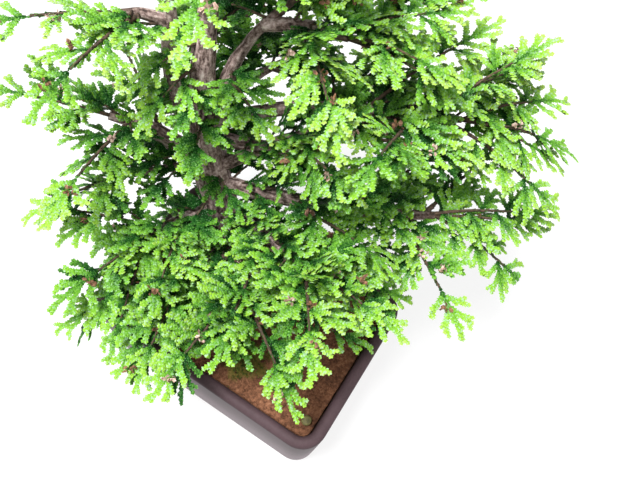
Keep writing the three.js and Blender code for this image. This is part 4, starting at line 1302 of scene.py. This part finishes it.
# %% Glaze and bare clay
glaze = Finish("satin_glaze", Coat_Roughness=0.4, Coat_IOR=1.45, Specular_IOR_Level=0.25)
place = glaze.place()
cloud, speck = glaze.noise(place, 38, 3, 0.55), glaze.noise(place, 700, 3, 0.6)
height = glaze.node("ShaderNodeSeparateXYZ", {}, place, output="Z")
mottling = cloud * 0.7 + speck * 0.3
pale = glaze.ramp(mottling, (0.32, (0.170, 0.130, 0.145)), (0.66, (0.270, 0.215, 0.235)))
dark = glaze.ramp(mottling, (0.32, (0.042, 0.024, 0.027)), (0.66, (0.075, 0.046, 0.052)))
# Painted light: paler low on the wall for the floor's reflection, darker up to the lip for the foliage's
# shade.
tone = glaze.mix(height.smooth(0.0060, 0.0600), pale, dark)
tone = glaze.mix(speck.smooth(0.63, 0.72) * 0.5, tone, (0.050, 0.030, 0.033))
lip = height.smooth(0.0560, 0.0605)
clay = glaze.ramp(speck, (0.35, (0.190, 0.110, 0.070)), (0.65, (0.330, 0.215, 0.150)))
bare = 1.0 - (height + (cloud - 0.5) * 0.002).smooth(0.0058, 0.0070)
glaze.set(Base_Color=glaze.mix(bare, tone, clay), Coat_Weight=0.12 * (1.0 - bare) * (1.0 - lip),
          Roughness=0.50 + cloud * 0.12 + bare * 0.30 + lip * 0.15,
          Normal=glaze.bump(cloud * 0.8 + speck * 0.2, 0.0004, 0.35))
pot_piece.data.materials.append(glaze.material)
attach(pot_piece, "root")
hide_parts("pot")

# %% [markdown]
# The two plates over the drain holes stay as the solid model has them. They are black moulded plastic, with
# the faint orange-peel skin that such plates have.

# %% Drain plates
plate = Finish("moulded_plastic")
skin = plate.noise(plate.place(), 1400, 2, 0.5)
plate.set(Base_Color=plate.ramp(skin, (0.3, (0.010, 0.011, 0.012)), (0.7, (0.030, 0.031, 0.034))),
          Roughness=0.5 + skin * 0.2, Normal=plate.bump(skin, 0.0001, 0.4))
for side in ("left", "right"):
    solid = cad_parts["drain_screen_" + side]
    solid.data.materials.clear()
    solid.data.materials.append(plate.material)

# %% [markdown]
# ## Soil, moss and pebbles
# Bonsai soil is a mix of baked clay grains, bark and humus. The body of it is one closed mound with a noise
# on it. Loose grains are then scattered over the top by Geometry Nodes. Moss grows where the ground stays
# damp, round the trunk and at the front: the attribute `damp` says where, to the finish and to the tufts.

# %% Shape of the ground
SOIL_INSET = 7.7
HALF_X, HALF_Y, SOIL_CORNER = POT_LENGTH / 2 - SOIL_INSET, POT_DEPTH / 2 - SOIL_INSET, CORNER - SOIL_INSET
MOUNDS = [((-34, 16), 30, 24, 3.4), ((34, -14), 26, 20, 1.4), ((24, 24), 24, 14, 1.8)]
BUMPS, SETTLED = [(0.7, 9, 3.1), (0.5, 3.5, 7.7)], 0.6
TRUNK_X, TRUNK_Y, RING_RADIUS, RING_WIDTH, RING_LEVEL = -38, 27, 20, 16, 0.75
PATCH_X, PATCH_Y, PATCH_STRETCH, PATCH_REACH, RAGGED, CONTRAST = 16, -27, 1.2, 15, 0.45, 2.2


def ground_height(x, y):
    height = 0.0
    for (mx, my), length, depth, rise in MOUNDS:
        share = 1 - ((x - mx) / length) ** 2 - ((y - my) / depth) ** 2
        if share > 0:
            height = max(height, rise * math.sqrt(share) * min(1.0, share * 2.5))
    return height


def lump(x, y, size, seed):
    return mnoise.noise((x / size + seed, y / size - seed, seed * 0.37))


def wetness(x, y):
    to_trunk = math.hypot(x - TRUNK_X, y - TRUNK_Y)
    to_patch = math.hypot((x - PATCH_X) / PATCH_STRETCH, y - PATCH_Y)
    wet = max(1 - to_patch / PATCH_REACH, RING_LEVEL - abs(to_trunk - RING_RADIUS) / RING_WIDTH)
    return min(max((wet + RAGGED * lump(x, y, 6, 1.3)) * CONTRAST, 0.0), 1.0)


def round_off(x, y):
    ox, oy = abs(x) - (HALF_X - SOIL_CORNER), abs(y) - (HALF_Y - SOIL_CORNER)
    if ox <= 0 or oy <= 0:
        return x, y
    shrink = max(ox, oy) / math.hypot(ox, oy)
    return (math.copysign(HALF_X - SOIL_CORNER + ox * shrink, x),
            math.copysign(HALF_Y - SOIL_CORNER + oy * shrink, y))


print("the ground rises", round(ground_height(TRUNK_X, TRUNK_Y), 2), "mm at the trunk")

# %% [markdown]
# Lifted out of its pot, the soil is one block with the pot's inner shape. Its top is a grid, lifted by the
# mounds and bumps above, with its corners rounded off. Its sides and bottom never show, so the rim of the
# grid is only drawn down to the floor and closed with one large face.

# %% The ground as one closed body
COLUMNS, ROWS, FLOOR, NARROW_X, NARROW_Y = 132, 88, 13.0, 0.97, 0.965
stride = COLUMNS + 1
ground_points, ground_faces, damp = [], [], []
for j in range(ROWS + 1):
    for i in range(stride):
        x, y = round_off(HALF_X * (2 * i / COLUMNS - 1), HALF_Y * (2 * j / ROWS - 1))
        height = SOIL_TOP + ground_height(x, y)
        for rise, size, seed in BUMPS:
            height += rise * lump(x, y, size, seed)
        ground_points.append((x, y, height - SETTLED))
        damp.append(wetness(x, y))
for a in (j * stride + i for j in range(ROWS) for i in range(COLUMNS)):
    ground_faces.append((a, a + 1, a + stride + 1, a + stride))
top_points, top_faces = list(ground_points), list(ground_faces)
rim = list(range(stride)) + [j * stride + COLUMNS for j in range(1, ROWS + 1)]
rim += [ROWS * stride + i for i in range(COLUMNS - 1, -1, -1)] + [j * stride for j in range(ROWS - 1, 0, -1)]
first = len(ground_points)
ground_points += [(ground_points[i][0] * NARROW_X, ground_points[i][1] * NARROW_Y, FLOOR) for i in rim]
for i in range(len(rim)):
    ground_faces.append((rim[i - 1], first + (i - 1) % len(rim), first + i, rim[i]))
ground_faces.append([first + i for i in range(len(rim) - 1, -1, -1)])
print("ground:", len(ground_faces), "faces")

# %% [markdown]
# Baked clay grains are brick brown, and the gaps between them are painted dark as shade, so a fine noise sets
# both colour and height, and a coarser one gathers the grains into clods. Moss is a velvet of tiny shoots in
# several yellowish greens. An olive green is washed over the soil under it, so that the patch has no bare
# edge.

# %% Finishes of soil and moss
earth = Finish("potting_soil", Roughness=0.9, Specular_IOR_Level=0.25)
place = earth.place()
crumbs, clods = earth.noise(place, 620, 4, 0.62), earth.noise(place, 120, 3, 0.55)
# Painted shade: the lowest stops are almost black, in the gaps between the grains that the same noise sinks.
tone = earth.ramp(crumbs * 0.65 + clods * 0.35, (0.30, (0.034, 0.014, 0.008)),
                  (0.45, (0.105, 0.043, 0.021)), (0.58, (0.200, 0.086, 0.043)),
                  (0.74, (0.320, 0.160, 0.090)))
green_ground = earth.attribute("damp").smooth(0.2, 0.9) * 0.85
tone = earth.mix(green_ground, tone, (0.130, 0.118, 0.018))
earth.set(Base_Color=tone, Roughness=0.96 - crumbs * 0.2,
          Normal=earth.bump(crumbs * 0.7 + clods * 0.3, 0.0010, 0.9))
moss = Finish("moss", Roughness=0.8, Specular_IOR_Level=0.3)
fuzz = moss.noise(moss.place(), 900, 3, 0.6)
moss.set(Base_Color=moss.ramp(fuzz, (0.3, (0.020, 0.050, 0.008)), (0.5, (0.095, 0.120, 0.018)),
                              (0.72, (0.230, 0.250, 0.040))),
         Roughness=0.95 - fuzz * 0.25, Normal=moss.bump(fuzz, 0.0004, 0.8))

# %% Put the ground in the pot
ground = new_object("soil_bed", ground_points, ground_faces)
add_attribute(ground, "damp", "FLOAT", damp + [0.0] * len(rim))
ground.data.materials.append(earth.material)
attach(ground, "root")
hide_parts("soil")
print("soil:", triangles(ground), "triangles")

# %% [markdown]
# A grain is a squashed, dented ball and a tuft is three thin cones that lean apart. Both are scattered by the
# same recipe: more points where its mask is high, each with a random turn and a random size.

# %% Shapes of a grain and a tuft
DENTED, DENT_PITCH, BLADE_FOOT, BLADE_TIP, TUFT_LEAN = 0.35, 2.3, 0.22, 0.03, 0.45


def grain_shape(detail, squash, seed):
    work = bmesh.new()
    bmesh.ops.create_icosphere(work, subdivisions=detail, radius=0.5)
    for vertex in work.verts:
        vertex.co *= 1 + DENTED * mnoise.noise(vertex.co * DENT_PITCH + Vector((seed, 0, 0)))
        vertex.co.z *= squash
    return from_bmesh("grain", work)


def tuft_shape(blades):
    work = bmesh.new()
    for k in range(blades):
        lean = Matrix.Rotation(math.tau * k / blades, 4, "Z") @ Matrix.Rotation(TUFT_LEAN, 4, "Y")
        bmesh.ops.create_cone(work, segments=3, radius1=BLADE_FOOT, radius2=BLADE_TIP, depth=1.0,
                              matrix=lean @ Matrix.Translation((0, 0, 0.4)), cap_ends=True)
    return from_bmesh("tuft", work)


grain, tuft = grain_shape(1, 0.8, 4.0), tuft_shape(3)
print("a grain has", triangles(grain), "triangles and a tuft", triangles(tuft))

# %% Scatter grains and tufts
ANY_TURN = (0.5, 0.5, 6.28)


def scatter(name, thing, finish, count, small, large, seed, mask):
    base = new_object(name + "_base", top_points, top_faces)
    add_attribute(base, "mask", "FLOAT", mask)
    sprinkle = Recipe(name, Thing=("Object", thing), Density=("Float", count), Small=("Float", small * MM),
                      Large=("Float", large * MM), Seed=("Int", seed))
    dots = sprinkle.node("GeometryNodeDistributePointsOnFaces", {"distribute_method": "RANDOM"},
                         Mesh=sprinkle.given("Geometry"), Seed=sprinkle.given("Seed"),
                         Density=sprinkle.attribute("mask") * sprinkle.given("Density"))
    spin = sprinkle.random("FLOAT_VECTOR", (0.0, 0.0, 0.0), ANY_TURN)
    big = sprinkle.random("FLOAT", sprinkle.given("Small"), sprinkle.given("Large"))
    laid = sprinkle.node("GeometryNodeInstanceOnPoints", Points=dots, Instance=sprinkle.shape_of("Thing"),
                         Rotation=spin, Scale=big)
    piece = sprinkle.bake(laid, base, name, finish.material)
    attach(piece, "root")


scatter("soil_grains", grain, earth, 170000, 0.7, 2.2, 5, [1.0 - 0.75 * value for value in damp])
scatter("moss_tufts", tuft, moss, 520000, 1.0, 2.2, 9, [value ** 1.5 for value in damp])

# %% [markdown]
# Three pebbles lie on the soil. The solids give their place and size; a finer lump with a soft noise takes
# their place, each with its own tint.

# %% Pebbles
DENT, DENT_SCALE, FLATTENED = 0.10, 1.3, 0.98
TINTS = {"pebble_orange": ((0.25, 0.085, 0.028), (0.48, 0.20, 0.075)),
         "pebble_olive": ((0.050, 0.045, 0.012), (0.190, 0.170, 0.055)),
         "pebble_tan": ((0.26, 0.16, 0.085), (0.55, 0.38, 0.22))}
for name, (dark, light) in TINTS.items():
    low_corner, high_corner = (np.array(corner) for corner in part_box(name))
    middle, half = (low_corner + high_corner) / 2, (high_corner - low_corner) / 2
    seed = Vector((middle[0] * 900, 0, 0))
    work = bmesh.new()
    bmesh.ops.create_icosphere(work, subdivisions=4, radius=1.0)
    for vertex in work.verts:
        spot = vertex.co * (1 + DENT * mnoise.noise(vertex.co * DENT_SCALE + seed))
        spot = Vector(min(max(c, -FLATTENED), FLATTENED) for c in spot)
        vertex.co = Vector(middle) + Vector(c * h for c, h in zip(spot, half))
    piece = link(from_bmesh(name + "_stone", work))
    piece.data.shade_smooth()
    stone = Finish(name + "_stone", Roughness=0.6)
    grain = stone.noise(stone.place(), 500, 5, 0.6)
    stone.set(Base_Color=stone.ramp(grain, (0.35, dark), (0.65, light)), Roughness=0.5 + grain * 0.3,
              Normal=stone.bump(grain, 0.0003, 0.6))
    piece.data.materials.append(stone.material)
    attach(piece, "root")
    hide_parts(name)

# %% [markdown]
# ## Floor, light and camera
# A tree this small is usually shown on a white sweep, a sheet that runs under and behind it. A bent sheet
# could be modelled, but seen from above a flat floor that glows a little is as white and has no edge.

# %% Floor
FLOOR_HALF, FLOOR_DROP = 6.0, 0.0002
floor_mesh = bpy.data.meshes.new("sweep")
floor_mesh.from_pydata([(*corner, 0) for corner in -FLOOR_HALF * CORNERS], [], [(0, 1, 2, 3)])
floor = link(bpy.data.objects.new("sweep", floor_mesh))
floor.location = (0, 0, -FLOOR_DROP)
sweep = Finish("white_sweep", Roughness=0.9, Emission_Strength=0.80, Base_Color=(0.20, 0.20, 0.20),
               Emission_Color=(1.0, 1.0, 1.0))
floor_mesh.materials.append(sweep.material)

# %% [markdown]
# The light is a large soft lamp high over the front left corner, with a weak second one to the right that
# opens the shadows, and a pale sky all round. With small hard lamps every scale would throw a sharp shadow.

# %% Light
LIT_POINT = Vector((0, 0, 0.12))
world = bpy.data.worlds.new("studio")
world.use_nodes = True
world.node_tree.nodes["Background"].inputs["Color"].default_value = (1.0, 1.0, 1.0, 1)
world.node_tree.nodes["Background"].inputs["Strength"].default_value = 0.40
bpy.context.scene.world = world


def soft_light(name, place, size, power):
    lamp = bpy.data.lights.new(name, "AREA")
    lamp.shape, lamp.size, lamp.energy = "DISK", size, power
    made = link(bpy.data.objects.new(name, lamp))
    made.location = place
    made.rotation_euler = (LIT_POINT - Vector(place)).to_track_quat("-Z", "Y").to_euler()


soft_light("key", (-0.38, -0.42, 1.78), 0.7, 66)
soft_light("fill", (1.2, -0.3, 1.2), 0.9, 7)
bpy.context.scene.view_settings.view_transform = "Standard"
bpy.context.scene.view_settings.look = "None"
print("lights: key and fill")

# %% [markdown]
# The camera looks down on the tree steeply, from the front right corner, and is turned a little about its own
# line of sight. Its axes are worked out from those three turns, which is easier to change than a matrix.

# %% Camera
CAMERA_PLACE = np.array([73.0, -106.0, 383.0])
TURN, TILT, ROLL = 22.2, 61.5, 11.6
level = compass(TURN)
forward = between(np.cross(UP, level), -UP, TILT)
upright = np.cross(level, forward)
right, above = between(level, upright, ROLL), between(upright, -level, ROLL)
camera = bpy.data.cameras.new("camera")
camera.lens, camera.sensor_width = 34.56, 36.0
camera.clip_start, camera.clip_end = 0.01, 20.0
viewer = link(bpy.data.objects.new("camera", camera))
axes = np.column_stack([right, above, -forward, to_row(CAMERA_PLACE)[0]])
viewer.matrix_world = Matrix([*axes.tolist(), [0, 0, 0, 1]])
bpy.context.scene.camera = viewer
print("camera at, mm:", CAMERA_PLACE)
